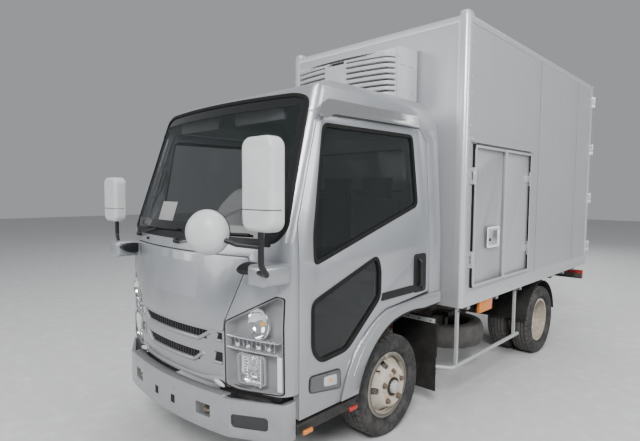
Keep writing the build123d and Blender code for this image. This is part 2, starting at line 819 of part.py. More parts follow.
with BuildPart() as box_frame:
    with BuildSketch(Plane.XY.offset(box_bottom_z)) as ring:
        with Locations((body_middle_x, 0)):
            Rectangle(body_length, 2 * box_half_width)
            Rectangle(body_length - 2 * rail_rim, 2 * (box_half_width - rail_rim), mode=Mode.SUBTRACT)
        fillet(ring.vertices().group_by(Axis.X)[-1], front_post_radius)
    extrude(amount=sill_height)
    with BuildSketch(Plane.XY.offset(wall_high_z)) as ring:
        with Locations((body_middle_x, 0)):
            Rectangle(body_length, 2 * box_half_width)
            Rectangle(body_length - 2 * rail_rim, 2 * (box_half_width - rail_rim), mode=Mode.SUBTRACT)
        fillet(ring.vertices().group_by(Axis.X)[-1], front_post_radius)
    extrude(amount=rail_rim)
    with BuildSketch(Plane.XY.offset(wall_low_z)) as posts:
        with Locations((box_front_x - front_post[0] / 2, box_half_width - front_post[1] / 2)):
            Rectangle(*front_post)
        fillet(posts.vertices().group_by(Axis.X)[-1].sort_by(Axis.Y)[-1], front_post_radius)
        with Locations((box_rear_x + rear_post[0] / 2, box_half_width - rear_post[1] / 2)):
            Rectangle(*rear_post)
        mirror(about=Plane.XZ)
    extrude(amount=wall_high_z - wall_low_z)
    cap_x = box_front_x - corner_cap[0] / 2
    cap_y = box_half_width - corner_cap[1] / 2
    with BuildSketch(Plane.XY.offset(box_top_z)) as caps:
        with Locations((cap_x, cap_y), (cap_x, -cap_y)):
            Rectangle(corner_cap[0], corner_cap[1])
        fillet(caps.vertices().group_by(Axis.X)[-1], corner_cap_radius)
    extrude(amount=corner_cap[2], taper=14)
    for side in (-1, 1):
        add(body_barrels(rear_pin_x, side * rear_pin_y, rear_hinge_heights))
        for height in rear_hinge_heights:
            for end in (-1, 1):
                middle = height + end * (leaf_barrel / 2 + barrel_gap + body_barrel / 2)
                with Locations(((rear_pin_x + box_rear_x + 26) / 2, side * (box_half_width + 5), middle)):
                    Box(box_rear_x + 26 - rear_pin_x, 14, body_barrel)
store(box_frame.part, "box_frame")

# Flat insulated panels between the posts and rails
with BuildPart() as box_front_wall:
    with BuildSketch(Plane.YZ.offset(inner_front_x)):
        with Locations((0, (wall_low_z + wall_high_z) / 2)):
            Rectangle(2 * (box_half_width - front_post[1]), wall_high_z - wall_low_z)
    extrude(amount=box_wall - panel_inset)
store(box_front_wall.part, "box_front_wall")

with BuildPart() as box_roof:
    with BuildSketch(Plane.XY.offset(box_top_z - box_roof_thickness)):
        with Locations((body_middle_x, 0)):
            Rectangle(body_length - 2 * box_wall, 2 * (box_half_width - box_wall))
    extrude(amount=box_roof_thickness - panel_inset)
    with BuildSketch(Plane.XY.offset(wall_high_z)):
        with Locations((body_middle_x, 0)):
            Rectangle(body_length - 2 * rail_rim, 2 * (box_half_width - rail_rim))
    extrude(amount=rail_rim - panel_inset)
store(box_roof.part, "box_roof")

# Side door on the left: two plug leaves with tapered edges in a tapered opening
side_door_front_x = front_axle_x - 857
side_door_rear_x = front_axle_x - 2020
side_door_split_x = front_axle_x - 1440
side_door_low_z = 920
side_door_high_z = 2030
plug_taper = 12
leaf_gap = 6


def side_plug(front_x, rear_x, low_z, high_z, margin):
    """Tapered block the thickness of the left wall, largest at the outer face."""
    with BuildPart() as plug:
        with BuildSketch(Plane.XZ.offset(-(box_half_width - panel_inset))):
            with Locations(((front_x + rear_x) / 2, (low_z + high_z) / 2)):
                Rectangle(front_x - rear_x + 2 * margin, high_z - low_z + 2 * margin)
        extrude(amount=box_wall - panel_inset, taper=plug_taper)
    return plug.part


def side_wall(side):
    """One side wall, left for side = 1."""
    with BuildPart() as wall:
        with BuildSketch(Plane.XZ.offset(-side * (box_half_width - panel_inset))):
            with Locations(((panel_front_x + panel_rear_x) / 2, (wall_low_z + wall_high_z) / 2)):
                Rectangle(panel_front_x - panel_rear_x, wall_high_z - wall_low_z)
        extrude(amount=side * (box_wall - panel_inset))
    return wall.part


wall_face_y = box_half_width - panel_inset
gutter_size = (side_door_front_x - side_door_rear_x + 110, 24, 42)
gutter_z = side_door_high_z + leaf_gap + gutter_size[2] / 2 + 8
latch_plate = (232, 172)
latch_plate_x = front_axle_x - 1210
latch_plate_z = 1298
latch_depth = 14
latch_grip = (34, 120)

with BuildPart() as box_side_left:
    add(side_wall(1))
    add(
        side_plug(side_door_front_x, side_door_rear_x, side_door_low_z, side_door_high_z, leaf_gap),
        mode=Mode.SUBTRACT,
    )
    with BuildSketch(Plane.XZ.offset(-wall_face_y)):
        with Locations(((side_door_front_x + side_door_rear_x) / 2, gutter_z)):
            RectangleRounded(gutter_size[0], gutter_size[2], gutter_size[2] / 2 - 1)
    extrude(amount=-gutter_size[1])
    for pin_x, away in ((side_door_front_x, 1), (side_door_rear_x, -1)):
        add(body_barrels(pin_x, side_pin_y, side_hinge_heights))
        for height in side_hinge_heights:
            for end in (-1, 1):
                middle = height + end * (leaf_barrel / 2 + barrel_gap + body_barrel / 2)
                with Locations((pin_x + away * 26, wall_face_y + strap_thickness / 2, middle)):
                    Box(52, strap_thickness, body_barrel)
store(box_side_left.part, "box_side_left")
store(side_wall(-1), "box_side_right")


def side_leaf(front_x, rear_x, pin_x, away):
    """A leaf of the side door with its hinge straps: away is +1 where the pin is at the front."""
    with BuildPart() as leaf:
        add(side_plug(front_x, rear_x, side_door_low_z, side_door_high_z, 0))
        add(leaf_barrels(pin_x, side_pin_y, side_hinge_heights))
        for height in side_hinge_heights:
            with Locations((pin_x - away * strap_reach / 2, wall_face_y + strap_thickness / 2, height)):
                Box(strap_reach, strap_thickness, leaf_barrel)
    return leaf.part


with BuildPart() as front_leaf:
    add(side_leaf(side_door_front_x, side_door_split_x + leaf_gap / 2, side_door_front_x, 1))
    with BuildSketch(Plane.XZ.offset(-wall_face_y)):
        with Locations((latch_plate_x, latch_plate_z)):
            RectangleRounded(*latch_plate, 12)
            RectangleRounded(*latch_grip, 8, mode=Mode.SUBTRACT)
    extrude(amount=latch_depth, mode=Mode.SUBTRACT)
store(front_leaf.part, "side_door_front")
store(side_leaf(side_door_split_x - leaf_gap / 2, side_door_rear_x, side_door_rear_x, -1), "side_door_rear")

# Rear doors: two plug leaves with a lock rod each
lock_rod_radius = 14
lock_rod_x = front_axle_x - rear_reach + lock_rod_radius
lock_rod_y = 330
lock_rod_low_z = box_bottom_z + 40
lock_rod_high_z = box_top_z - 30
rod_keepers = (1100, 1500, 1900, 2300, 2700)
rear_door_edge_y = box_half_width - rear_post[1] - leaf_gap
rear_door_low_z = wall_low_z + leaf_gap
rear_door_high_z = wall_high_z - leaf_gap


def make_rear_door():
    """Left rear leaf with its lock rod and keepers."""
    with BuildPart() as leaf:
        with BuildSketch(Plane.YZ.offset(box_rear_x)):
            with Locations(((rear_door_edge_y + leaf_gap / 2) / 2, (rear_door_low_z + rear_door_high_z) / 2)):
                Rectangle(rear_door_edge_y - leaf_gap / 2, rear_door_high_z - rear_door_low_z)
        extrude(amount=rear_post[0], taper=plug_taper)
        with BuildSketch(Plane.XY.offset(lock_rod_low_z)):
            with Locations((lock_rod_x, lock_rod_y)):
                Circle(lock_rod_radius)
        extrude(amount=lock_rod_high_z - lock_rod_low_z)
        for height in rod_keepers:
            with BuildSketch(Plane.XY.offset(height - 25)):
                with Locations(((lock_rod_x + box_rear_x) / 2, lock_rod_y)):
                    Rectangle(box_rear_x - lock_rod_x, 60)
            extrude(amount=50)
        add(leaf_barrels(rear_pin_x, rear_pin_y, rear_hinge_heights))
        strap_inner_y = rear_door_edge_y - strap_reach
        strap_x = box_rear_x - strap_thickness / 2
        for height in rear_hinge_heights:
            with Locations((strap_x - flat_gap, (strap_inner_y + rear_pin_y) / 2, height)):
                Box(strap_thickness, rear_pin_y - strap_inner_y, leaf_barrel)
            with Locations((strap_x, rear_door_edge_y - strap_reach / 2, height)):
                Box(strap_thickness, strap_reach - 2, leaf_barrel)
    return leaf.part


rear_door = make_rear_door()
store(rear_door, "rear_door_left")
store(rear_door.mirror(Plane.XZ), "rear_door_right")

# Cooling unit on the front wall above the cab: a bowed housing whose louvres run round its corners
unit_half_width = 500
unit_bottom_z = 2385
unit_top_z = 2775
unit_reach = 430
unit_bow = 62
unit_corner_radius = 84
unit_back_x = box_front_x + 40
unit_flange = 16                # the flange behind the housing: its thickness
unit_flange_lip = 14            # and how far it stands out all round
unit_neck_inset = 34            # the narrower neck between flange and wall
unit_top_slope = 75
louvre_rows = (
    # lower edge above the housing's bottom, slot height
    (30, 17),
    (72, 17),
    (114, 17),
    (156, 17),
    (198, 17),
    (240, 17),
    (282, 12),
)
brow_rows = (
    # thin slots over the louvres: lower edge, slot height, outer end
    (312, 6, 300),
    (332, 6, 250),
)
louvre_depth = 46
louvre_rear_x = box_front_x + 300
centre_panel_half = 112
air_slot = (190, 30)            # the slot over the centre panel
air_slot_z = 2688


def unit_plan(inset):
    """Plan outline of the cooling unit, moved inwards by inset."""
    nose = box_front_x + unit_reach - inset
    corner = nose - unit_bow
    side = unit_half_width - inset
    with BuildSketch() as plan:
        with BuildLine():
            Polyline((corner, side), (unit_back_x, side), (unit_back_x, -side), (corner, -side))
            ThreePointArc((corner, -side), (nose, 0), (corner, side))
        make_face()
        fillet(plan.vertices().group_by(Axis.X)[-1], unit_corner_radius - inset)
    return plan.sketch


with BuildPart() as cooling_unit:
    with BuildSketch(Plane.XY.offset(unit_bottom_z)):
        add(unit_plan(0))
    extrude(amount=unit_top_z - unit_bottom_z)
    with BuildSketch(Plane.XZ.offset(-unit_half_width)):
        with BuildLine():
            nose_x = box_front_x + unit_reach
            nose_line = Line((unit_back_x, unit_bottom_z), (nose_x, unit_bottom_z))
            front_line = Line(nose_line @ 1, (nose_x, unit_top_z - unit_top_slope - 34))
            brow_z = unit_top_z - unit_top_slope
            brow = ThreePointArc(front_line @ 1, (nose_x - 13, brow_z - 6), (nose_x - 50, brow_z + 10))
            crown = ThreePointArc(brow @ 1, (nose_x - 150, unit_top_z - 18), (nose_x - 250, unit_top_z))
            Polyline(crown @ 1, (unit_back_x, unit_top_z), (unit_back_x, unit_bottom_z))
        make_face()
    extrude(amount=2 * unit_half_width, mode=Mode.INTERSECT)
    for rise, height in louvre_rows:
        with BuildSketch(Plane.XY.offset(unit_bottom_z + rise)):
            add(unit_plan(-2))
            add(unit_plan(louvre_depth), mode=Mode.SUBTRACT)
            Rectangle(4000, 2 * centre_panel_half, mode=Mode.SUBTRACT)
            with Locations((louvre_rear_x - 1000, 0)):
                Rectangle(2000, 2000, mode=Mode.SUBTRACT)
        extrude(amount=height, mode=Mode.SUBTRACT)
    for rise, height, outer_end in brow_rows:
        for side in (-1, 1):
            slot_y = side * (centre_panel_half + outer_end) / 2
            with Locations((nose_x - 60, slot_y, unit_bottom_z + rise + height / 2)):
                Box(200, outer_end - centre_panel_half, height, mode=Mode.SUBTRACT)
    with BuildSketch(Plane.YZ.offset(nose_x - louvre_depth)):
        with Locations((0, air_slot_z)):
            Trapezoid(air_slot[0], air_slot[1], 60)
    extrude(amount=200, mode=Mode.SUBTRACT)
    with BuildSketch(Plane.YZ.offset(unit_back_x - unit_flange)):
        with Locations((0, (unit_bottom_z + unit_top_z) / 2)):
            flange_height = unit_top_z - unit_bottom_z + 2 * unit_flange_lip
            RectangleRounded(2 * (unit_half_width + unit_flange_lip), flange_height, 20)
    extrude(amount=unit_flange)
    with BuildSketch(Plane.YZ.offset(box_front_x - panel_inset)):
        with Locations((0, (unit_bottom_z + unit_top_z) / 2)):
            neck_height = unit_top_z - unit_bottom_z - 2 * unit_neck_inset
            Rectangle(2 * (unit_half_width - unit_neck_inset), neck_height)
    extrude(amount=unit_back_x - unit_flange - box_front_x + panel_inset)
store(cooling_unit.part, "cooling_unit")

# Lamps of the chassis: fog lamps in the bumper, amber side lamps under the box, tail lamps on the rear bar
fog_lens = (fog_pocket[0] - 2 * flat_gap, fog_pocket[1] - 2 * flat_gap)
side_lamp = (244, 26, 110)
side_lamp_x = front_axle_x - 1227
side_lamp_y = box_half_width - 40
tail_lamp = (38, 250, 104)
tail_lamp_x = rail_rear_x - rear_bar_size[0] - flat_gap - tail_lamp[0] / 2
tail_lamp_y = rear_bar_size[1] / 2 - tail_lamp[1] / 2
tail_lamp_z = rear_bar_z + 18

with BuildPart() as chassis_lamps:
    for side in (-1, 1):
        with BuildSketch(Plane.YZ.offset(bumper_front_x - 180)):
            with Locations((side * fog_pocket_y, fog_pocket_z)):
                RectangleRounded(*fog_lens, 20 - flat_gap)
        extrude(amount=400)
    with BuildSketch(Plane.XY.offset(bumper_bottom_z)):
        add(bumper_plan(6))
        add(bumper_plan(bumper_wall), mode=Mode.SUBTRACT)
    extrude(amount=bumper_top_z - bumper_bottom_z, mode=Mode.INTERSECT)
    for side in (-1, 1):
        with Locations((side_lamp_x, side * side_lamp_y, box_bottom_z - flat_gap - side_lamp[2] / 2)):
            Box(*side_lamp)
        with Locations((tail_lamp_x, side * tail_lamp_y, tail_lamp_z)):
            Box(*tail_lamp)
store(chassis_lamps.part, "chassis_lamps")

# Section 3: cab

cab_sections = (
    # height, front reach from the axle, bow of the front, half width, corner radius
    (430, 1180, 175, cab_half_width, 90),
    (950, 1188, 175, cab_half_width, 90),
    (1300, 1152, 150, cab_half_width - 2, 90),
    (1400, 1108, 112, cab_half_width - 8, 70),
    (2350, 781, 95, cab_half_width - 62, 70),
)
roof_rear_radius = 300
screen_base_z = 1390
bulkhead_depth = 130


def cab_form(side_inset, front_inset):
    """Closed form of the cab, moved inwards at the sides, rear and roof, and at the front."""
    rear = cab_rear_x + side_inset
    top = roof_z - side_inset
    with BuildPart() as form:
        for height, reach, bow, half_width, corner in cab_sections:
            nose = front_axle_x + reach - front_inset
            side = half_width - side_inset
            with BuildSketch(Plane.XY.offset(height)) as section:
                with BuildLine():
                    Polyline((nose - bow, side), (rear, side), (rear, -side), (nose - bow, -side))
                    ThreePointArc((nose - bow, -side), (nose, 0), (nose - bow, side))
                make_face()
                fillet(section.vertices().group_by(Axis.X)[-1], corner)
        loft(ruled=True)
        with BuildSketch(Plane.XZ.offset(-1000)):
            with BuildLine():
                back = Line((rear, 400), (rear, top - roof_rear_radius))
                turn = roof_rear_radius * 0.293
                rear_arc = ThreePointArc(back @ 1, (rear + turn, top - turn), (rear + roof_rear_radius, top))
                crown = ThreePointArc(
                    rear_arc @ 1, (front_axle_x + 300, top + 18), (front_axle_x + 690 - front_inset, top - 58)
                )
                brow = Line(crown @ 1, (front_axle_x + 1400, top - 420))
                nose_line = Line(brow @ 1, (front_axle_x + 1400, 400))
                Line(nose_line @ 1, back @ 0)
            make_face()
        extrude(amount=2000, mode=Mode.INTERSECT)
        with BuildSketch(Plane.YZ.offset(cab_rear_x - 100)):
            with BuildLine():
                half = cab_half_width - 50 - side_inset
                Polyline((-half, top - 135), (-half - 200, top - 700), (-half - 200, 400))
                Line((-half - 200, 400), (half + 200, 400))
                Polyline((half + 200, 400), (half + 200, top - 700), (half, top - 135))
                ThreePointArc((half, top - 135), (half - 32, top - 45), (half - 115, top - 8))
                ThreePointArc((half - 115, top - 8), (0, top + 16), (-half + 115, top - 8))
                ThreePointArc((-half + 115, top - 8), (-half + 32, top - 45), (-half, top - 135))
            make_face()
        extrude(amount=2200, mode=Mode.INTERSECT)
        split(bisect_by=Plane.XZ, keep=Keep.BOTTOM)
        mirror(about=Plane.XZ)
    return form.part


# Openings in side view (x from the front axle, height) and in front view (side, height)
door_front = 918
door_rear = -380
door_top_z = 2100
sill_z = 440
door_hinge_y = cab_half_width - 3
door_hinge_x = front_axle_x + door_front - 14
roof_split_z = door_top_z + panel_gap
side_window = ((806, 1262), (806, 1420), (700, 2040), (-200, 2050), (-240, 1570), (271, 1420))
lower_window = ((243, 1259), (208, 1180), (212, 1000), (532, 740), (754, 722), (818, 796), (818, 1060))
lid_outline = ((-626, 1310), (626, 1310), (474, 952), (468, 897), (-468, 897), (-474, 952))
grille_outline = ((-470, 897), (470, 897), (470, 640), (300, 615), (-300, 615), (-470, 640))
lamp_outline = ((480, 950), (480, 600), (565, 588), (824, 600), (824, 1112), (790, 1118))
lamp_back_x = front_axle_x + 935
screen_outline = (
    (-765, 1398),
    (765, 1398),
    (808, 1460),
    (748, 2175),
    (660, 2205),
    (-660, 2205),
    (-748, 2175),
    (-808, 1460),
)


def side_prism(points, low_y, high_y, radius, margin=0):
    """Block across the truck with a side-view outline, its corners rounded."""
    with BuildPart() as prism:
        with BuildSketch(Plane.XZ.offset(-low_y)) as outline:
            Polygon(*[(front_axle_x + x, z) for x, z in points], align=None)
            if radius:
                fillet(outline.vertices(), radius)
            if margin:
                offset(amount=margin)
        extrude(amount=-(high_y - low_y))
    return prism.part


def front_prism(points, back_x, radius, margin=0):
    """Block along the truck from back_x forwards with a front-view outline, its corners rounded."""
    with BuildPart() as prism:
        with BuildSketch(Plane.YZ.offset(back_x)) as outline:
            Polygon(*points, align=None)
            if radius:
                fillet(outline.vertices(), radius)
            if margin:
                offset(amount=margin)
        extrude(amount=1000)
    return prism.part


def door_prism(side, margin):
    """Block with the side-view outline of a door, left for side = 1, grown by margin."""
    with BuildPart() as prism:
        with BuildSketch(Plane.XZ.offset(-side * (cab_half_width - 250))):
            with BuildLine():
                left = front_axle_x + door_rear
                right = front_axle_x + door_front
                sill = Line((right, sill_z), (front_axle_x + 590, sill_z))
                wheel = ThreePointArc(sill @ 1, (front_axle_x + 430, 735), (front_axle_x + 137, 915))
                Polyline(
                    wheel @ 1,
                    (left, 955),
                    (left, door_top_z - 90),
                    (left + 90, door_top_z),
                    (front_axle_x + 700, door_top_z),
                    (front_axle_x + 745, door_top_z - 45),
                    (right, 1490),
                    (right, sill_z),
                )
            make_face()
            if margin:
                offset(amount=margin)
        extrude(amount=-side * 400)
    return prism.part


outer_form = cab_form(0, 0)
high_space = cab_form(cab_wall, cab_wall)
low_space = cab_form(cab_wall, bulkhead_depth)

with BuildPart() as cab_space:
    add(high_space)
    with Locations((front_axle_x, 0, screen_base_z - 1000)):
        Box(6000, 3000, 2000, mode=Mode.SUBTRACT)
    add(low_space)

lamp_depth = 85
lid_thickness = 12
lid_gap = 7                     # room round the lid, which swings on arms behind the cowl
lid_recess = 80
lid_block = front_prism(lid_outline, front_axle_x + 900, 14)
lid_hole = front_prism(lid_outline, front_axle_x + 900, 14, lid_gap)
grille_block = front_prism(grille_outline, front_axle_x + 900, 8)
lamp_block = front_prism(lamp_outline, lamp_back_x, 12)
lamp_hole = front_prism(lamp_outline, lamp_back_x - panel_gap, 12, panel_gap)
screen_block = front_prism(screen_outline, front_axle_x + 500, 30)

with BuildPart() as cab_shell:
    add(outer_form)
    add(cab_space.part, mode=Mode.SUBTRACT)
    for side in (-1, 1):
        add(door_prism(side, panel_gap), mode=Mode.SUBTRACT)
    add(screen_block, mode=Mode.SUBTRACT)
    add(lid_hole - cab_form(cab_wall, lid_recess), mode=Mode.SUBTRACT)
    add(grille_block - cab_form(cab_wall, lid_recess), mode=Mode.SUBTRACT)
    add(lamp_hole - cab_form(lamp_depth, lamp_depth), mode=Mode.SUBTRACT)
    add((lamp_hole - cab_form(lamp_depth, lamp_depth)).mirror(Plane.XZ), mode=Mode.SUBTRACT)

door_lug = (30, 30, 70)         # door hinge lug on the pillar
door_lug_x = front_axle_x + door_front + flat_gap + door_lug[0] / 2
door_lug_y = cab_half_width - 28
door_lug_heights = (1190, 1400)
lid_stop = (60, 30)             # width and height of the lid's stops, behind its top corners
lid_stop_y = 330
lid_stop_z = 1282
rear_bottom_z = 935
nose_bottom_z = 590
front_floor_z = 700
tilt_room_x = 1120
channel_half = rail_outer_y + 60
rear_window = (560, 330)
rear_window_z = 1830

with BuildPart() as cab_rear:
    add(cab_shell.part)
    with Locations((front_axle_x - 1000, 0, (rear_bottom_z + roof_split_z) / 2)):
        Box(2000, 3000, roof_split_z - rear_bottom_z, mode=Mode.INTERSECT)
    with Locations((front_axle_x + door_rear - panel_gap + 500, 0, rear_bottom_z)):
        Box(1000, 3000, 200, mode=Mode.SUBTRACT)
    with BuildSketch(Plane.YZ.offset(cab_rear_x - 50)):
        with Locations((0, rear_window_z)):
            RectangleRounded(2 * rear_window[0], rear_window[1], 60)
    extrude(amount=cab_wall + 100, mode=Mode.SUBTRACT)
store(cab_rear.part, "cab_rear")

with BuildPart() as cab_roof:
    add(cab_shell.part)
    with Locations((front_axle_x, 0, roof_split_z + 500)):
        Box(6000, 3000, 1000, mode=Mode.INTERSECT)
store(cab_roof.part, "cab_roof")

with BuildPart() as lid_stops:
    with BuildSketch(Plane.YZ.offset(front_axle_x + 900)):
        with Locations((-lid_stop_y, lid_stop_z), (lid_stop_y, lid_stop_z)):
            Rectangle(*lid_stop)
    extrude(amount=400)
    add(cab_form(0, lid_thickness + flat_gap), mode=Mode.INTERSECT)
    add(cab_form(cab_wall, lid_recess + 5), mode=Mode.SUBTRACT)

with BuildPart() as cab_front:
    add(cab_shell.part)
    with Locations((front_axle_x + 1500, 0, (nose_bottom_z + roof_split_z) / 2)):
        Box(3000, 3000, roof_split_z - nose_bottom_z, mode=Mode.INTERSECT)
    with Locations((front_axle_x + door_front - 500, 0, 700)):
        Box(1000, 3000, 1000, mode=Mode.SUBTRACT)
    with Locations((front_axle_x + tilt_room_x - 500, 0, front_floor_z - 500)):
        Box(1000, 2 * channel_half, 1000, mode=Mode.SUBTRACT)
    pin_hole_end = rail_outer_y + nose_plate[1] + tilt_pin_length + panel_gap
    with BuildSketch(Plane.XZ.offset(-pin_hole_end)):
        with Locations((tilt_axis_x, tilt_axis_z)):
            Circle(tilt_pin_radius + running_gap)
    extrude(amount=2 * pin_hole_end, mode=Mode.SUBTRACT)
    for side in (-1, 1):
        for height in door_lug_heights:
            with Locations((door_lug_x, side * door_lug_y, height)):
                Box(*door_lug)
    add(lid_stops.part)
store(cab_front.part, "cab_front")

# Doors: the whole thickness of the side, with windows cut
window_radius = 45
low_window_radius = 40
pane_low_y = cab_half_width - 260
pane_high_y = cab_half_width + 50


def make_door(side):
    """A cab door, left for side = 1; only the left one has the low window."""
    with BuildPart() as door:
        add(door_prism(1, 0))
        add(outer_form, mode=Mode.INTERSECT)
        add(cab_form(cab_wall, cab_wall), mode=Mode.SUBTRACT)
        add(side_prism(side_window, pane_low_y, pane_high_y, window_radius), mode=Mode.SUBTRACT)
        if side > 0:
            add(side_prism(lower_window, pane_low_y, pane_high_y, low_window_radius), mode=Mode.SUBTRACT)
    return door.part if side > 0 else door.part.mirror(Plane.XZ)


store(make_door(1), "door_left")
store(make_door(-1), "door_right")

glass_inset = 8
glass_thickness = 6


def make_door_glass(side):
    """The panes of one door."""
    with BuildPart() as panes:
        add(side_prism(side_window, pane_low_y, pane_high_y, window_radius))
        if side > 0:
            add(side_prism(lower_window, pane_low_y, pane_high_y, low_window_radius))
        add(cab_form(glass_inset, glass_inset), mode=Mode.INTERSECT)
        add(cab_form(glass_inset + glass_thickness, glass_inset), mode=Mode.SUBTRACT)
    return panes.part if side > 0 else panes.part.mirror(Plane.XZ)


store(make_door_glass(1), "door_glass_left")
store(make_door_glass(-1), "door_glass_right")

with BuildPart() as cab_glass:
    add(screen_block)
    add(cab_form(3, 3), mode=Mode.INTERSECT)
    add(cab_form(3, 10), mode=Mode.SUBTRACT)
    with BuildSketch(Plane.YZ.offset(cab_rear_x + glass_inset)):
        with Locations((0, rear_window_z)):
            RectangleRounded(2 * rear_window[0], rear_window[1], 60)
    extrude(amount=glass_thickness)
store(cab_glass.part, "cab_glass")

with BuildPart() as front_lid:
    add(lid_block)
    add(outer_form, mode=Mode.INTERSECT)
    add(cab_form(0, lid_thickness), mode=Mode.SUBTRACT)
store(front_lid.part, "front_lid")

# Grille: two long slots between two pairs of short ones
grille_thickness = 26
grille_bar_pitch = 26
grille_bar_width = 7
grille_bars = 35
slot_rows = (
    # top height, bottom height, half width at the top, half width at the bottom
    (883, 832, 375, 290),
    (752, 700, 315, 245),
)
side_slot_rows = (
    # inner top, inner bottom, outer edge, top height, bottom height
    (430, 415, 462, 884, 842),
    (412, 398, 462, 774, 716),
)

with BuildPart() as grille:
    add(grille_block)
    add(outer_form, mode=Mode.INTERSECT)
    add(cab_form(0, grille_thickness), mode=Mode.SUBTRACT)
    with BuildSketch(Plane.YZ.offset(front_axle_x + 900)):
        for top, bottom, wide, narrow in slot_rows:
            Polygon((-wide, top), (wide, top), (narrow, bottom), (-narrow, bottom), align=None)
        for inner_top, inner_bottom, outer, top, bottom in side_slot_rows:
            for side in (-1, 1):
                Polygon(
                    (side * inner_top, top),
                    (side * outer, top),
                    (side * outer, bottom),
                    (side * inner_bottom, bottom),
                    align=None,
                )
        with Locations((0, (slot_rows[0][0] + slot_rows[-1][1]) / 2)):
            with GridLocations(grille_bar_pitch, 0, grille_bars, 1):
                Rectangle(grille_bar_width, 300, mode=Mode.SUBTRACT)
    extrude(amount=600, mode=Mode.SUBTRACT)
store(grille.part, "grille")

with BuildPart() as headlamps:
    add(lamp_block)
    add(outer_form, mode=Mode.INTERSECT)
    add(cab_form(lamp_depth - flat_gap, lamp_depth - flat_gap), mode=Mode.SUBTRACT)
    mirror(about=Plane.XZ)
store(headlamps.part, "headlamps")

# Cab floor: seat deck over the wheels, front floor and door sills
deck_z = 862
deck_thickness = 38
floor_half_width = cab_half_width - cab_wall - panel_gap - 2

with BuildPart() as cab_floor:
    with BuildSketch(Plane.XZ.offset(-floor_half_width)):
        with BuildLine():
            rear_end = cab_rear_x + cab_wall
            low = Line((rear_end, deck_z), (front_axle_x + 80, deck_z))
            house = ThreePointArc(low @ 1, (front_axle_x + 345, 715), (front_axle_x + 455, sill_z + 5))
            Polyline(
                house @ 1,
                (front_axle_x + 900, sill_z + 5),
                (front_axle_x + 1060, nose_bottom_z + 40),
                (front_axle_x + 1060, front_floor_z),
                (front_axle_x + 560, front_floor_z),
                (front_axle_x + 500, deck_z + deck_thickness),
                (rear_end, deck_z + deck_thickness),
                (rear_end, deck_z),
            )
        make_face()
    extrude(amount=2 * floor_half_width)
    with BuildSketch(Plane.XZ.offset(-channel_half)):
        Polygon(
            (cab_rear_x, 300),
            (front_axle_x + 1100, 300),
            (front_axle_x + 1100, front_floor_z - 30),
            (front_axle_x + 530, front_floor_z - 30),
            (front_axle_x + 470, deck_z),
            (cab_rear_x, deck_z),
            align=None,
        )
    extrude(amount=2 * channel_half, mode=Mode.SUBTRACT)
    add(cab_form(cab_wall + panel_gap + 2, bulkhead_depth + flat_gap), mode=Mode.INTERSECT)
store(cab_floor.part, "cab_floor")

# Dashboard with the steering column's housing on the right
dash_half_width = 760
wheel_centre = (front_axle_x + 600, -360, 1330)
wheel_tilt = 32
wheel_axis = Vector(0, 0, 1).rotate(Axis.Y, -wheel_tilt)
wheel_hub_back = 55
wheel_hub_radius = 48
column_radius = 42
column_length = 240

with BuildPart() as dashboard:
    with BuildSketch(Plane.XZ.offset(-dash_half_width)):
        with BuildLine():
            Polyline(
                (front_axle_x + 1020, 1000),
                (front_axle_x + 1020, 1372),
                (front_axle_x + 860, 1392),
                (front_axle_x + 740, 1370),
            )
            ThreePointArc((front_axle_x + 740, 1370), (front_axle_x + 700, 1330), (front_axle_x + 712, 1260))
            Polyline((front_axle_x + 712, 1260), (front_axle_x + 780, 1040), (front_axle_x + 1020, 1000))
        make_face()
    extrude(amount=2 * dash_half_width)
    add(cab_form(cab_wall + panel_gap + 2, bulkhead_depth + flat_gap), mode=Mode.INTERSECT)
    column_top = Vector(*wheel_centre) - wheel_axis * (wheel_hub_back + flat_gap)
    with BuildSketch(Plane(origin=column_top, z_dir=-wheel_axis)):
        Circle(column_radius)
    extrude(amount=column_length)
store(dashboard.part, "dashboard")

# Steering wheel: rim, three spokes and hub
wheel_radius = 195
wheel_rim_radius = 15
with BuildPart() as steering_wheel:
    with BuildSketch(Plane.XZ):
        with Locations((wheel_radius, 0)):
            Circle(wheel_rim_radius)
    revolve(axis=Axis.Z)
    with BuildSketch(Plane.XY.offset(-wheel_hub_back)):
        Circle(wheel_hub_radius)
    extrude(amount=45)
    with BuildSketch(Plane.XY.offset(-32)):
        for angle in (90, 210, 330):
            with Locations(Rotation(0, 0, angle)):
                with Locations((wheel_radius / 2, 0)):
                    Rectangle(wheel_radius - 4, 34)
    extrude(amount=24)
steering_wheel_placed = steering_wheel.part.rotate(Axis.Y, -wheel_tilt).translate(wheel_centre)
store(steering_wheel_placed, "steering_wheel")

# Seats: cushion, back and head rest for each place
seat_rows = (
    # middle across the truck, width
    (-400, 500),
    (30, 300),
    (430, 500),
)
seat_front_x = front_axle_x + 190
seat_length = 470
seat_deck_z = deck_z + deck_thickness
cushion_height = 150
back_height = 560
back_thickness = 130
back_x = seat_front_x - seat_length - back_thickness / 2 + 20
back_low_z = seat_deck_z + cushion_height + 2 * flat_gap
rest_size = (80, 240)
rest_height = 170
rest_x = seat_front_x - seat_length - 30
seat_rounding = 28

with BuildPart() as seats:
    for middle, width in seat_rows:
        with Locations((seat_front_x - seat_length / 2, middle, seat_deck_z + flat_gap + cushion_height / 2)):
            Box(seat_length, width - 20, cushion_height)
        with Locations((back_x, middle, back_low_z + back_height / 2)):
            Box(back_thickness, width - 30, back_height)
        with Locations((rest_x, middle, back_low_z + back_height + rest_height / 2)):
            Box(*rest_size, rest_height)
    fillet(seats.edges().filter_by(Axis.Y).group_by(Axis.X)[-1], seat_rounding)
store(seats.part, "seats")

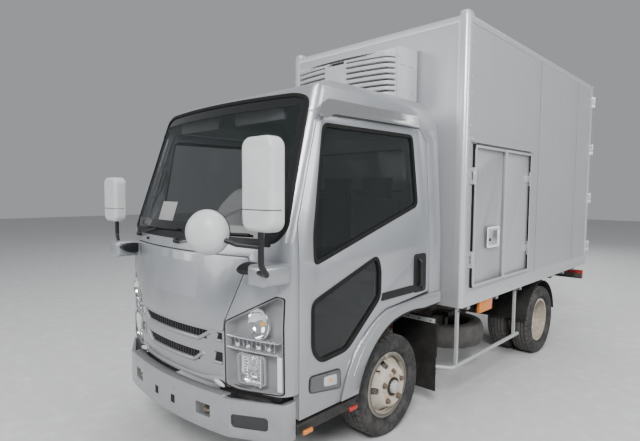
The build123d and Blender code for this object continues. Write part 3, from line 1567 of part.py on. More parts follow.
# Mirrors: a main mirror each side on a bent arm, and the round under-view mirror on the left one
pod_x = front_axle_x + 1100
pod_z = 1262
pod_half = (88, 44)
pod_root_y = 560
pod_inner_y = 650
pod_outer_y = cab_half_width + 8
arm_radius = 14
branch_radius = 11
arm_bend = 34
housing_depth = 92
housing_width = 208
housing_radius = 52
housing_edge = 24
housing_y = mirror_half_reach - housing_width / 2
left_mirror = (front_axle_x + 1290, housing_y, 1692, 415)       # x, y, z, height
right_mirror = (front_axle_x + 1070, -housing_y, 1597, 330)
under_radius = 105
under_depth = 58
under_rounding = 50
under_centre = (front_axle_x + front_reach, 760, 1475)
arm_rows = (
    # radius, points from the pod to the mirror
    (
        arm_radius,
        (
            (pod_x + 20, 700, pod_z),
            (pod_x + 110, 930, pod_z + 10),
            (left_mirror[0], 985, 1330),
            (left_mirror[0], 985, 1520),
        ),
    ),
    (
        branch_radius,
        (
            (left_mirror[0], 985, 1415),
            (left_mirror[0] + 70, 900, 1425),
            (under_centre[0] - 50, 790, 1468),
        ),
    ),
    (
        arm_radius,
        (
            (pod_x - 30, -700, pod_z),
            (pod_x - 20, -930, pod_z + 10),
            (right_mirror[0], -985, 1330),
            (right_mirror[0], -985, 1450),
        ),
    ),
)

with BuildPart() as mirror_pods:
    for side in (-1, 1):
        with BuildSketch(Plane.XZ.offset(-side * pod_root_y)):
            with Locations((pod_x, pod_z)):
                Ellipse(*pod_half)
        extrude(amount=-side * (pod_outer_y - pod_root_y), taper=6)
    add(cab_form(-flat_gap, -flat_gap), mode=Mode.SUBTRACT)
    with Locations((pod_x, 0, pod_z)):
        Box(4 * pod_half[0], 2 * pod_inner_y, 4 * pod_half[1], mode=Mode.SUBTRACT)

with BuildPart() as mirrors:
    for x, y, z, tall in (left_mirror, right_mirror):
        with BuildSketch(Plane.YZ.offset(x - housing_depth / 2)):
            with Locations((y, z)):
                RectangleRounded(housing_width, tall, housing_radius)
        extrude(amount=housing_depth)
    fillet(mirrors.faces().filter_by(Axis.X).edges(), housing_edge)
    with BuildSketch(Plane.YZ.offset(under_centre[0] - under_depth)):
        with Locations(under_centre[1:]):
            Circle(under_radius)
    extrude(amount=under_depth)
    fillet(mirrors.faces().sort_by(Axis.X)[-1].edges(), under_rounding)
    for radius, points in arm_rows:
        with BuildLine():
            FilletPolyline(*points, radius=arm_bend)
        with BuildSketch(Plane(origin=points[0], z_dir=Vector(*points[1]) - Vector(*points[0]))):
            Circle(radius)
        sweep()
    add(mirror_pods.part)
store(mirrors.part, "mirrors")

# Painted arch lips behind the doors' lower edges, over the front wheels
arch_lip_inner_y = floor_half_width + flat_gap
arch_lip_outer_y = cab_half_width + 12
arch_lip_rear_x = front_axle_x - 535

with BuildPart() as wheel_arches:
    with BuildSketch(Plane.XZ.offset(-arch_lip_inner_y)):
        with BuildLine():
            lip_top_z = rear_bottom_z - flat_gap
            top = Line((arch_lip_rear_x, lip_top_z), (front_axle_x + door_rear - 6, lip_top_z))
            slope = Line(top @ 1, (front_axle_x + 134, 909))
            outer = ThreePointArc(slope @ 1, (front_axle_x + 425, 731), (front_axle_x + 583, sill_z))
            base = Line(outer @ 1, (front_axle_x + 425, sill_z))
            inner = ThreePointArc(base @ 1, (front_axle_x + 300, 670), (front_axle_x + 62, 825))
            crown = ThreePointArc(inner @ 1, (front_axle_x - 120, 851), (front_axle_x - 300, 842))
            tail = Line(crown @ 1, (arch_lip_rear_x, 846))
            Line(tail @ 1, top @ 0)
        make_face()
    extrude(amount=-(arch_lip_outer_y - arch_lip_inner_y))
    fillet(wheel_arches.faces().sort_by(Axis.Y)[-1].edges(), 6)
    mirror(about=Plane.XZ)
store(wheel_arches.part, "wheel_arches")

# Black steps under the doors
step_size = (498, 150, 60)
step_x = front_axle_x + 686
step_z = 390
step_stay = (40, 60)
step_stay_stations = (500, 860)
step_stay_height = sill_z + 5 - step_z - step_size[2] / 2 - flat_gap

with BuildPart() as cab_steps:
    for side in (-1, 1):
        with Locations((step_x, side * (cab_half_width - step_size[1] / 2), step_z)):
            Box(*step_size)
        for station in step_stay_stations:
            stay_z = step_z + step_size[2] / 2 + step_stay_height / 2
            with Locations((front_axle_x + station, side * (floor_half_width - 40), stay_z)):
                Box(*step_stay, step_stay_height)
store(cab_steps.part, "cab_steps")
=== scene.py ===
"""Dressing of a light refrigerated truck: finishes, rounded panels, tyres, lamps, glazing, trim and a plain studio.

Metres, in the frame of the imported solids: +X forward, +Y to the truck's left, +Z up, ground at Z = 0.
"""

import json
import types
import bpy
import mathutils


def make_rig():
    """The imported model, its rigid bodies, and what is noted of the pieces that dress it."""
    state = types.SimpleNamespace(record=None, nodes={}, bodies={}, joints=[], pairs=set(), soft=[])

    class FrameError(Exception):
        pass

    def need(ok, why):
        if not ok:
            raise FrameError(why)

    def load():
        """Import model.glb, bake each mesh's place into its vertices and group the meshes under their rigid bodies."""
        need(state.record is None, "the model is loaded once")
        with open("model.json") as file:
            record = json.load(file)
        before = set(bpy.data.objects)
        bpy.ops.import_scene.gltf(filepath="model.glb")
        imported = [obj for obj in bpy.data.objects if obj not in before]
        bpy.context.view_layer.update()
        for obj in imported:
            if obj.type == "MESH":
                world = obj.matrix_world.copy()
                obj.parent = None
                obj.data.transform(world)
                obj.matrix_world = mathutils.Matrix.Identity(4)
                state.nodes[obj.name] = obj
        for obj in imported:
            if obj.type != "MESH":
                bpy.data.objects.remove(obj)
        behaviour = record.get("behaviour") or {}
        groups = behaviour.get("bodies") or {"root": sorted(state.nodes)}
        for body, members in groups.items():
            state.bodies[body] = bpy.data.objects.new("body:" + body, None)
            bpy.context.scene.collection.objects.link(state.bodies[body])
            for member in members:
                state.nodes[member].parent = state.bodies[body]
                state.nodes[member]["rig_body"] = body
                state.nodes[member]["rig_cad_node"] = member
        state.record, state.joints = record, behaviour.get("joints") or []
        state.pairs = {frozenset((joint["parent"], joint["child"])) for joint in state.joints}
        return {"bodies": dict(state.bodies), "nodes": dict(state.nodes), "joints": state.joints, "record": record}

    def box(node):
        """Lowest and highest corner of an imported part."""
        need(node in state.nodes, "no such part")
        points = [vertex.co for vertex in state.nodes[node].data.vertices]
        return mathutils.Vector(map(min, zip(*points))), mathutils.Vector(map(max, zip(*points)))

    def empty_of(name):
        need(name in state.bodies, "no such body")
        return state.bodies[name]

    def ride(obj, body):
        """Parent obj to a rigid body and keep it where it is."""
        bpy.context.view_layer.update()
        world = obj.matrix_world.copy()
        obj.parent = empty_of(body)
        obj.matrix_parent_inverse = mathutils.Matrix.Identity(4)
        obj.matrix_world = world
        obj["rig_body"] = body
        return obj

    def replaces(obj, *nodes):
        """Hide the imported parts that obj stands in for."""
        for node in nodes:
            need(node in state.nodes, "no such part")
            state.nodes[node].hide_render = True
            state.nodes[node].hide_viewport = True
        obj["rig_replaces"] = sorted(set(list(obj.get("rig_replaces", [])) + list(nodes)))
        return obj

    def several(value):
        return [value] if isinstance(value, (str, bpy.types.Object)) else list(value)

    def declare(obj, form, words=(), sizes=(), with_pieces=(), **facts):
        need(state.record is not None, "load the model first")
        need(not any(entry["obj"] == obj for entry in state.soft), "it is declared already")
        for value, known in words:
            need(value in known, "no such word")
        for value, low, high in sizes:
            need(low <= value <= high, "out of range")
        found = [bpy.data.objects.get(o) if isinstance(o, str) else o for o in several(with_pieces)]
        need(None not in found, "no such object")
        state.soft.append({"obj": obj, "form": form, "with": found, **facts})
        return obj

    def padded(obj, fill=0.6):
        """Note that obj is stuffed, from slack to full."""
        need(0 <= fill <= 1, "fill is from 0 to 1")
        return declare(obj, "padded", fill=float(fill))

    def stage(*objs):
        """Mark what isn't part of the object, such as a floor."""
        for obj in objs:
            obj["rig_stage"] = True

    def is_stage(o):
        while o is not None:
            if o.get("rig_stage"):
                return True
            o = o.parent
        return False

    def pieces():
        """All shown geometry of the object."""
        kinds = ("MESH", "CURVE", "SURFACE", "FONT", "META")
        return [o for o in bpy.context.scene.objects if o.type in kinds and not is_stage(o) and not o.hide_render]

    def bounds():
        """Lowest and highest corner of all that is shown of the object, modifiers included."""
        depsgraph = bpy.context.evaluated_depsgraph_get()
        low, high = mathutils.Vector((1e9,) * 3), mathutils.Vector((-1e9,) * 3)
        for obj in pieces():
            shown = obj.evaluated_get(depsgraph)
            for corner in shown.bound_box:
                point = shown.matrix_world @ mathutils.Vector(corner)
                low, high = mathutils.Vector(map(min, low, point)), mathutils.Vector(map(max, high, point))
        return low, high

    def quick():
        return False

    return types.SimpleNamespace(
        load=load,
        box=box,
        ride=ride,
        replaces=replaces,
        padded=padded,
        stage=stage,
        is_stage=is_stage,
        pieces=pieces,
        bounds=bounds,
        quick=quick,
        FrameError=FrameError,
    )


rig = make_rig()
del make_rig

bl_info = {
    "name": "Refrigerated Truck Dressing",
    "version": (1, 0, 0),
    "blender": (4, 5, 0),
    "location": "View3D > Sidebar > Truck",
    "description": "Dresses the packed solids of a refrigerated truck with detail, finishes and a studio",
    "category": "Object",
}

import json
import math
import sys

import bpy
from mathutils import Matrix, Vector

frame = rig.load()
cad_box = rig.bounds()

tyre_low, tyre_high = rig.box("front_tyre_left")
rear_low, rear_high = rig.box("rear_tyres_left")
FRONT_X = (tyre_low.x + tyre_high.x) / 2
REAR_X = (rear_low.x + rear_high.x) / 2
AXLE_Z = (tyre_low.z + tyre_high.z) / 2
WHEEL_Y = 0.700
TWIN_Y = (0.5995, 0.8355)
BOX_FRONT = FRONT_X - 0.725
BOX_REAR = FRONT_X - 4.050


# Selecting and finishing


def clear():
    """Nothing selected, in object mode."""
    if bpy.context.mode != "OBJECT":
        bpy.ops.object.mode_set(mode="OBJECT")
    bpy.ops.object.select_all(action="DESELECT")


def pick(*pieces):
    """Select only these pieces, the first one active."""
    clear()
    for piece in pieces:
        piece.select_set(True)
    bpy.context.view_layer.objects.active = pieces[0]


def named(name):
    """The piece that an operator has just added, under its name."""
    piece = bpy.context.active_object
    piece.name = name
    return piece


def settle(piece):
    """Put the piece's place, turn and scale into its mesh."""
    pick(piece)
    bpy.ops.object.transform_apply(location=True, rotation=True, scale=True)
    return piece


def modify(piece, kind, **settings):
    """Add a modifier, set it and apply it."""
    pick(piece)
    bpy.ops.object.modifier_add(type=kind)
    modifier = piece.modifiers[-1]
    for key, value in settings.items():
        setattr(modifier, key, value)
    bpy.ops.object.modifier_apply(modifier=modifier.name)
    return piece


def smooth(piece, angle=35):
    """Shade smooth up to an angle."""
    pick(piece)
    bpy.ops.object.shade_smooth_by_angle(angle=math.radians(angle))
    return piece


def rounded(piece, width, steps=2, angle=30):
    """Round every edge sharper than an angle."""
    modify(
        piece, "BEVEL", width=width, segments=steps, limit_method="ANGLE",
        angle_limit=math.radians(angle), harden_normals=False,
    )
    return smooth(piece)


def edited(piece, *steps):
    """Run mesh operators, each with its values, on the whole of a piece."""
    pick(piece)
    bpy.ops.object.mode_set(mode="EDIT")
    for operator, values in steps:
        bpy.ops.mesh.select_all(action="SELECT")
        operator(**values)
    bpy.ops.object.mode_set(mode="OBJECT")
    return piece


MERGE = (bpy.ops.mesh.remove_doubles, {"threshold": 0.00002})
FACE_OUT = (bpy.ops.mesh.normals_make_consistent, {"inside": False})


def outward(piece):
    """Merge doubles and turn the faces outwards."""
    return edited(piece, MERGE, FACE_OUT)


def joined(name, pieces):
    """Several pieces as one."""
    pick(*pieces)
    if len(pieces) > 1:
        bpy.ops.object.join()
    return named(name)


def copied(piece, name):
    """A copy with its own mesh."""
    pick(piece)
    bpy.ops.object.duplicate(linked=False)
    return named(name)


def mirrored(piece, name):
    """A copy on the truck's other side, faces outwards."""
    twin = copied(piece, name)
    twin.scale.y = -1
    return edited(settle(twin), FACE_OUT)


# Shapes


def block(name, low, high, edge=0.0, steps=2):
    """Box between two corners, edges rounded."""
    clear()
    low, high = Vector(low), Vector(high)
    bpy.ops.mesh.primitive_cube_add(size=1, location=(low + high) / 2, scale=high - low)
    piece = settle(named(name))
    return rounded(piece, edge, steps) if edge else piece


def rod(name, start, end, radius, sides=20, edge=0.0, tip=None):
    """Round bar between two points, tapered to the tip radius where given."""
    clear()
    start, end = Vector(start), Vector(end)
    bpy.ops.mesh.primitive_cone_add(
        vertices=sides, radius1=radius, radius2=radius if tip is None else tip, depth=(end - start).length,
        location=(start + end) / 2, rotation=(end - start).to_track_quat("Z", "Y").to_euler(),
    )
    piece = settle(named(name))
    return rounded(piece, edge) if edge else smooth(piece)


def arc(before, corner, after, radius, steps):
    """Points of the arc that rounds one corner."""
    before, corner, after = Vector(before), Vector(corner), Vector(after)
    reach = min(radius, (before - corner).length / 2.05, (after - corner).length / 2.05)
    enter = corner + (before - corner).normalized() * reach
    leave = corner + (after - corner).normalized() * reach
    places = [step / steps for step in range(steps + 1)]
    return [enter.lerp(corner, t).lerp(corner.lerp(leave, t), t) for t in places]


def eased(points, radius):
    """A path's points with each corner rounded by an arc."""
    path = [Vector(points[0])]
    for three in zip(points, points[1:], points[2:]):
        path += arc(*three, radius, 5)
    return [*path, Vector(points[-1])]


def corners(points, radius):
    """A closed flat outline with its corners rounded."""
    outline = []
    for three in zip([points[-1], *points], points, [*points[1:], points[0]]):
        outline += arc(*three, radius, 4)
    return outline


def curve(name, lines, flat, **settings):
    """A curve object from lists of points, made a mesh: flat closed outlines, or open lines in space."""
    clear()
    bpy.ops.curve.primitive_bezier_curve_add()
    piece = named(name)
    piece.data.dimensions = "2D" if flat else "3D"
    piece.data.splines.clear()
    for line in lines:
        spline = piece.data.splines.new("POLY")
        spline.points.add(len(line) - 1)
        for point, place in zip(spline.points, line):
            point.co = (*place, 0, 1) if flat else (*place, 1)
        spline.use_cyclic_u = flat
    for key, value in settings.items():
        setattr(piece.data, key, value)
    pick(piece)
    bpy.ops.object.convert(target="MESH")
    return named(name)


def pipe(name, points, radius, bend=0.05, sides=4):
    """Round tube along a path with rounded corners."""
    line = eased(points, bend)
    piece = curve(name, [line], False, bevel_depth=radius, bevel_resolution=sides, use_fill_caps=True)
    return smooth(outward(piece), 50)


PLANES = {
    # local x, local y and local z of a flat outline, as columns
    "X": Matrix(((0, 0, 1), (1, 0, 0), (0, 1, 0))),
    "Y": Matrix(((1, 0, 0), (0, 0, 1), (0, 1, 0))),
    "Z": Matrix(((1, 0, 0), (0, 1, 0), (0, 0, 1))),
}


def plate(name, outlines, plane, low, high, edge=0.0):
    """Flat outline, with any holes as further outlines, as thick as low to high along the plane's axis."""
    piece = curve(
        name, outlines, True, fill_mode="BOTH", extrude=(high - low) / 2 - edge, bevel_depth=edge,
        bevel_resolution=1, offset=-edge,
    )
    piece.data.transform(Matrix.Translation((0, 0, (low + high) / 2)))
    piece.data.transform(PLANES[plane].to_4x4())
    return smooth(outward(piece), 40)


def axis_vector(axis):
    """The unit vector of an axis by its letter."""
    return Vector([float(letter == axis) for letter in "XYZ"])


def turned(name, profile, centre, axis="Y", steps=72, out=1):
    """Closed profile of (radius, place along the axis) turned about an axis through centre."""
    clear()
    bpy.ops.mesh.primitive_circle_add(vertices=len(profile), fill_type="NOTHING")
    piece = named(name)
    centre = Vector(centre)
    along = axis_vector(axis) * out
    for vertex, (radius, place) in zip(piece.data.vertices, profile):
        vertex.co = centre + Vector((0, 0, radius)) + along * place
    edited(piece, (bpy.ops.mesh.spin, {"steps": steps, "angle": math.tau, "center": centre, "axis": along}))
    return smooth(outward(piece), 32)


def about(place, degrees, axis):
    """The matrix that turns by an angle about an axis through a place."""
    turn = Matrix.Rotation(math.radians(degrees), 4, axis)
    return Matrix.Translation(place) @ turn @ Matrix.Translation(-Vector(place))


def ring_of(piece, name, count, centre):
    """Copies of a piece round a wheel's axis, joined."""
    copies = [copied(piece, name) for _ in range(1, count)]
    for index, twin in enumerate(copies, 1):
        twin.data.transform(about(centre, index * 360 / count, "Y"))
    return joined(name, [piece, *copies])


# The cab's outer surface, for trim that lies on it

CAB_SECTIONS = (
    # height, front reach from the axle, bow of the front, half width, corner radius
    (0.430, 1.180, 0.175, 0.8475, 0.09),
    (0.950, 1.188, 0.175, 0.8475, 0.09),
    (1.300, 1.152, 0.150, 0.8455, 0.09),
    (1.400, 1.108, 0.112, 0.8395, 0.07),
    (2.350, 0.781, 0.095, 0.7855, 0.07),
)


def section_at(z):
    """The cab's section values at a height."""
    low, high = next(
        pair for pair in zip(CAB_SECTIONS, CAB_SECTIONS[1:]) if z <= pair[1][0] or pair[1] is CAB_SECTIONS[-1]
    )
    t = (z - low[0]) / (high[0] - low[0])
    return [a + (b - a) * t for a, b in zip(low[1:], high[1:])]


def nose_x(y, z):
    """Where the cab's front surface is at a side distance and a height."""
    reach, bow, half, corner = section_at(z)
    radius = (half * half + bow * bow) / (2 * bow)
    middle = reach - radius
    corner_y = half - corner
    corner_x = middle + math.sqrt(max((radius - corner) ** 2 - corner_y**2, 0))
    y = abs(y)
    if y <= corner_y * radius / (radius - corner):
        return FRONT_X + middle + math.sqrt(radius * radius - y * y)
    return FRONT_X + corner_x + math.sqrt(max(corner**2 - min(y - corner_y, corner) ** 2, 0))


def side_y(z):
    """Half width of the cab at a height."""
    return section_at(z)[2]


def hug_front(piece, depth):
    """Lay a flat piece built about x = 0 at a depth under the cab's front surface, keeping its thickness."""
    for vertex in piece.data.vertices:
        vertex.co.x += nose_x(vertex.co.y, vertex.co.z) - depth
    return piece


def hug_side(piece):
    """Lay a flat piece built about y = 0 on the cab's left side."""
    for vertex in piece.data.vertices:
        vertex.co.y += side_y(vertex.co.z)
    return piece


def halved(piece):
    """Cut every edge of a piece in two, so that it can follow a surface."""
    return edited(piece, (bpy.ops.mesh.subdivide, {"number_cuts": 1}))


def sliced(piece, axis, places):
    """Cut a piece across by planes, so that it can follow a surface."""
    normal = axis_vector(axis)
    return edited(piece, *((bpy.ops.mesh.bisect, {"plane_co": normal * at, "plane_no": normal}) for at in places))


# Finishes


class Recipe:
    """Builds one procedural material on the Principled shader, reading Object coordinates."""

    def __init__(self, name, colour, roughness, metallic=0.0, **sockets):
        self.material = bpy.data.materials.new(name)
        self.material.use_nodes = True
        self.nodes = self.material.node_tree.nodes
        self.links = self.material.node_tree.links
        self.shader = self.nodes["Principled BSDF"]
        self.base = (*colour, 1)
        self.shader.inputs["Base Color"].default_value = self.base
        self.shader.inputs["Roughness"].default_value = roughness
        self.shader.inputs["Metallic"].default_value = metallic
        for key, value in sockets.items():
            self.shader.inputs[key.replace("_", " ")].default_value = value
        self.place = self.nodes.new("ShaderNodeTexCoord").outputs["Object"]
        self.colour = None
        self.height = None

    def add(self, kind, inputs=None, **settings):
        """A node with its settings and its inputs, which are values or other nodes' outputs."""
        node = self.nodes.new("ShaderNode" + kind)
        for key, value in settings.items():
            setattr(node, key, value)
        for key, value in (inputs or {}).items():
            if isinstance(value, bpy.types.NodeSocket):
                self.links.new(value, node.inputs[key])
            else:
                node.inputs[key].default_value = value
        return node

    def mapped(self, scale):
        """Object coordinates, stretched."""
        return self.add("Mapping", {"Vector": self.place, "Scale": scale}).outputs[0]

    def noise(self, scale, detail=3.0, rough=0.5, vector=None):
        """Noise from 0 to 1."""
        inputs = {"Vector": vector or self.place, "Scale": scale, "Detail": detail, "Roughness": rough}
        return self.add("TexNoise", inputs).outputs["Fac"]

    def ramp(self, value, low, high, start=0.0, end=1.0):
        """A value mapped from low..high to start..end, clamped."""
        inputs = {"Value": value, "From Min": low, "From Max": high, "To Min": start, "To Max": end}
        return self.add("MapRange", inputs).outputs["Result"]

    def math(self, operation, a, b=0.0):
        """One sum on two values."""
        return self.add("Math", {0: a, 1: b}, operation=operation).outputs[0]

    def axis(self, letter):
        """One coordinate."""
        return self.add("SeparateXYZ", {0: self.place}).outputs[letter]

    def radius(self, place):
        """Distance from a wheel's axis through a place."""
        moved = self.add("VectorMath", {0: self.place, 1: place}, operation="SUBTRACT").outputs[0]
        flat = self.add("VectorMath", {0: moved, 1: (1, 0, 1)}, operation="MULTIPLY").outputs[0]
        return self.add("VectorMath", {0: flat}, operation="LENGTH").outputs["Value"]

    def stain(self, colour, amount):
        """Mix a colour over what is there by an amount."""
        under = self.colour or self.base
        mix = self.add("Mix", {"Factor": amount}, data_type="RGBA")
        for slot, value in ((6, under), (7, (*colour, 1))):
            if isinstance(value, bpy.types.NodeSocket):
                self.links.new(value, mix.inputs[slot])
            else:
                mix.inputs[slot].default_value = value
        self.colour = mix.outputs[2]
        return self

    def gloss(self, value):
        """Drive the roughness."""
        self.links.new(value, self.shader.inputs["Roughness"])
        return self

    def bump(self, value, distance, strength=1.0):
        """Add a height over what is there."""
        inputs = {"Height": value, "Distance": distance, "Strength": strength}
        if self.height:
            inputs["Normal"] = self.height
        self.height = self.add("Bump", inputs).outputs["Normal"]
        return self

    def dust(self, low, high, amount, colour=(0.23, 0.21, 0.18)):
        """Road dust that grows from a height down to a lower one, broken up by noise."""
        rise = self.ramp(self.axis("Z"), high, low)
        patchy = self.ramp(self.noise(14, 6, 0.6), 0.3, 0.75, 0.25, 1.0)
        return self.stain(colour, self.math("MULTIPLY", self.math("MULTIPLY", rise, patchy), amount))

    def done(self):
        """Link what has been gathered and give the material."""
        if self.colour:
            self.links.new(self.colour, self.shader.inputs["Base Color"])
        if self.height:
            self.links.new(self.height, self.shader.inputs["Normal"])
        return self.material


def metallic_paint(name, colour, settings):
    """Silver metallic paint with flakes, a clear coat, orange peel and dust low down."""
    recipe = Recipe(name, colour, 0.34, 0.55, Coat_Weight=0.55, Coat_Roughness=0.06, Specular_IOR_Level=0.5)
    flakes = recipe.add("TexVoronoi", {"Vector": recipe.place, "Scale": 2600.0}).outputs["Distance"]
    recipe.stain([c * 0.78 for c in colour], recipe.ramp(flakes, 0.2, 0.75, 0.0, 0.5))
    recipe.stain([c * 1.08 for c in colour], recipe.ramp(recipe.noise(2.2, 2), 0.35, 0.7, 0.0, 0.35))
    recipe.dust(0.32, 0.95, settings.dirt)
    recipe.gloss(recipe.ramp(recipe.noise(5, 4), 0.3, 0.7, 0.30, 0.40))
    return recipe.bump(recipe.noise(160, 2), 0.0004, 0.12).done()


def wall_panel(name, colour, settings):
    """Satin silver sheet, a little wavy, with faint rain streaks and a dusty foot."""
    recipe = Recipe(name, colour, 0.38, 0.35, Coat_Weight=0.25, Coat_Roughness=0.18)
    streaks = recipe.noise(1.0, 5, 0.6, recipe.mapped((38, 38, 0.7)))
    recipe.stain([c * 0.86 for c in colour], recipe.ramp(streaks, 0.5, 0.78, 0.0, 0.4))
    recipe.stain([c * 1.05 for c in colour], recipe.ramp(recipe.noise(1.4, 2), 0.4, 0.7, 0.0, 0.4))
    recipe.dust(0.8, 1.5, settings.dirt * 0.5)
    recipe.gloss(recipe.ramp(streaks, 0.35, 0.7, 0.33, 0.46))
    return recipe.bump(recipe.noise(3.2, 1), 0.004, 0.10).bump(recipe.noise(240, 2), 0.0002, 0.15).done()


def brushed(name, colour, settings, metal=0.85, rough=0.32, grain=(4, 90, 90)):
    """Extruded aluminium, brushed along its length, with dull patches."""
    recipe = Recipe(name, colour, rough, metal)
    lines = recipe.noise(6, 4, 0.6, recipe.mapped(grain))
    recipe.stain([c * 0.74 for c in colour], recipe.ramp(lines, 0.42, 0.8, 0.0, 0.6))
    recipe.stain((0.35, 0.34, 0.32), recipe.ramp(recipe.noise(9, 5), 0.62, 0.8, 0.0, 0.35))
    recipe.dust(0.6, 1.2, settings.dirt * 0.6)
    recipe.gloss(recipe.ramp(lines, 0.3, 0.7, rough - 0.07, rough + 0.12))
    return recipe.bump(lines, 0.0003, 0.3).done()


def grained(name, colour, settings, rough=0.55, grain=520, depth=0.0006, dirt=1.0, **sockets):
    """Grained or moulded plastic or rubber, paler where it is worn, dusty low down."""
    recipe = Recipe(name, colour, rough, 0.0, **sockets)
    recipe.stain([min(c * 1.5 + 0.006, 1) for c in colour], recipe.ramp(recipe.noise(7, 5, 0.6), 0.5, 0.78, 0.0, 0.4))
    recipe.dust(0.1, 0.9, settings.dirt * dirt)
    recipe.gloss(recipe.ramp(recipe.noise(11, 4), 0.3, 0.7, rough - 0.08, rough + 0.1))
    cells = recipe.add("TexVoronoi", {"Vector": recipe.place, "Scale": float(grain)}).outputs["Distance"]
    return recipe.bump(cells, depth, 0.35).done()


def chassis_paint(name, colour, settings, rust=0.4):
    """Black chassis paint or bare steel with dried dirt and rust along it."""
    recipe = Recipe(name, colour, 0.5, 0.1)
    recipe.stain((0.16, 0.145, 0.125), recipe.ramp(recipe.noise(5, 6, 0.65), 0.42, 0.72, 0.0, 0.75))
    recipe.stain((0.21, 0.085, 0.035), recipe.ramp(recipe.noise(23, 7, 0.7), 0.6, 0.72, 0.0, rust))
    recipe.gloss(recipe.ramp(recipe.noise(16, 5), 0.3, 0.7, 0.45, 0.75))
    return recipe.bump(recipe.noise(70, 5, 0.6), 0.0015, 0.4).done()


def wheel_enamel(name, colour, settings, centre):
    """Cream enamel with rust rings round the hub and the studs, and brake dust in the slope."""
    recipe = Recipe(name, colour, 0.36, 0.0, Coat_Weight=0.2, Coat_Roughness=0.2)
    radius = recipe.radius(centre)
    broken = recipe.noise(26, 6, 0.65)
    near_hub = recipe.ramp(radius, 0.135, 0.05)
    recipe.stain((0.30, 0.16, 0.075), recipe.math("MULTIPLY", recipe.ramp(broken, 0.36, 0.62), near_hub))
    recipe.stain((0.20, 0.105, 0.05), recipe.ramp(recipe.noise(60, 5, 0.7), 0.60, 0.70, 0.0, 0.75))
    slope = recipe.math("MULTIPLY", recipe.ramp(radius, 0.125, 0.165), recipe.ramp(broken, 0.3, 0.7, 0.2, 0.75))
    recipe.stain((0.20, 0.165, 0.12), slope)
    recipe.gloss(recipe.ramp(broken, 0.35, 0.65, 0.32, 0.7))
    return recipe.bump(broken, 0.001, 0.25).done()


def tread_rubber(name, colour, settings, centre):
    """Tyre rubber: dusty side walls with fine moulded rings, and a worn, paler tread."""
    recipe = Recipe(name, colour, 0.72, 0.0, Specular_IOR_Level=0.35)
    radius = recipe.radius(centre)
    recipe.stain((0.085, 0.082, 0.078), recipe.ramp(radius, 0.336, 0.345, 0.0, 0.8))
    recipe.stain((0.12, 0.112, 0.10), recipe.ramp(recipe.noise(17, 6, 0.65), 0.42, 0.75, 0.0, 0.55))
    rings = recipe.add("Math", {0: recipe.math("MULTIPLY", radius, 900.0)}, operation="SINE").outputs[0]
    wall = recipe.math("MULTIPLY", recipe.ramp(radius, 0.30, 0.318), recipe.ramp(radius, 0.334, 0.326))
    recipe.bump(recipe.math("MULTIPLY", rings, wall), 0.0008, 0.5)
    return recipe.bump(recipe.noise(300, 3), 0.0004, 0.3).done()


def woven(name, colour, settings):
    """Woven seat cloth."""
    recipe = Recipe(name, colour, 0.9, 0.0, Sheen_Weight=0.3, Sheen_Roughness=0.5)
    waves = [
        recipe.add("TexWave", {"Vector": recipe.place, "Scale": 260.0}, bands_direction=letter).outputs["Fac"]
        for letter in "YZ"
    ]
    weave = recipe.math("MAXIMUM", *waves)
    recipe.stain([c * 1.7 for c in colour], recipe.ramp(weave, 0.4, 1.0, 0.0, 0.6))
    recipe.stain([c * 0.6 for c in colour], recipe.ramp(recipe.noise(30, 4), 0.5, 0.75, 0.0, 0.5))
    return recipe.bump(weave, 0.0008, 0.5).done()


def clear_pane(name, colour, settings, alpha=0.5, rough=0.02, ribs=0.0, **sockets):
    """See-through glass or lens, with a little haze, and vertical ribs where asked."""
    recipe = Recipe(name, colour, rough, 0.0, Alpha=alpha, IOR=1.5, Specular_IOR_Level=0.8, **sockets)
    recipe.stain([min(c * 1.2 + 0.006, 1) for c in colour], recipe.ramp(recipe.noise(2, 3), 0.45, 0.8, 0.0, 0.35))
    recipe.gloss(recipe.ramp(recipe.noise(2, 2), 0.4, 0.8, rough, rough + 0.03))
    if ribs:
        wave = recipe.add("TexWave", {"Vector": recipe.place, "Scale": ribs}, bands_direction="Y", wave_profile="SIN")
        recipe.bump(wave.outputs["Fac"], 0.0015, 0.5)
    return recipe.done()


def windscreen(name, colour, settings):
    """The cab's fixed panes: see-through, with the printed black band round each edge."""
    recipe = Recipe(name, colour, 0.02, 0.0, IOR=1.5, Specular_IOR_Level=0.8)
    width = recipe.ramp(recipe.axis("Z"), 1.46, 2.175, 0.790, 0.728)
    side = recipe.math("SUBTRACT", recipe.math("ABSOLUTE", recipe.axis("Y")), width)
    low = recipe.math("SUBTRACT", 1.445, recipe.axis("Z"))
    high = recipe.math("SUBTRACT", recipe.axis("Z"), 2.165)
    edge = recipe.math("MAXIMUM", recipe.math("MAXIMUM", side, low), high)
    front = recipe.ramp(recipe.axis("X"), FRONT_X, FRONT_X + 0.1)
    band = recipe.math("MULTIPLY", recipe.ramp(edge, -0.030, -0.024), front)
    recipe.stain((0.008, 0.008, 0.009), band)
    recipe.links.new(recipe.ramp(band, 0.0, 1.0, settings.glass_alpha * 0.4, 1.0), recipe.shader.inputs["Alpha"])
    recipe.gloss(recipe.ramp(recipe.noise(1.5, 2), 0.4, 0.8, 0.01, 0.03))
    return recipe.done()


def mirror_metal(name, colour, settings, rough=0.05):
    """Bright reflector or mirror glass, slightly hazy."""
    recipe = Recipe(name, colour, rough, 1.0)
    recipe.stain([c * 0.8 for c in colour], recipe.ramp(recipe.noise(12, 4), 0.5, 0.8, 0.0, 0.3))
    recipe.gloss(recipe.ramp(recipe.noise(25, 4), 0.4, 0.75, rough, rough + 0.08))
    return recipe.done()


# Settings


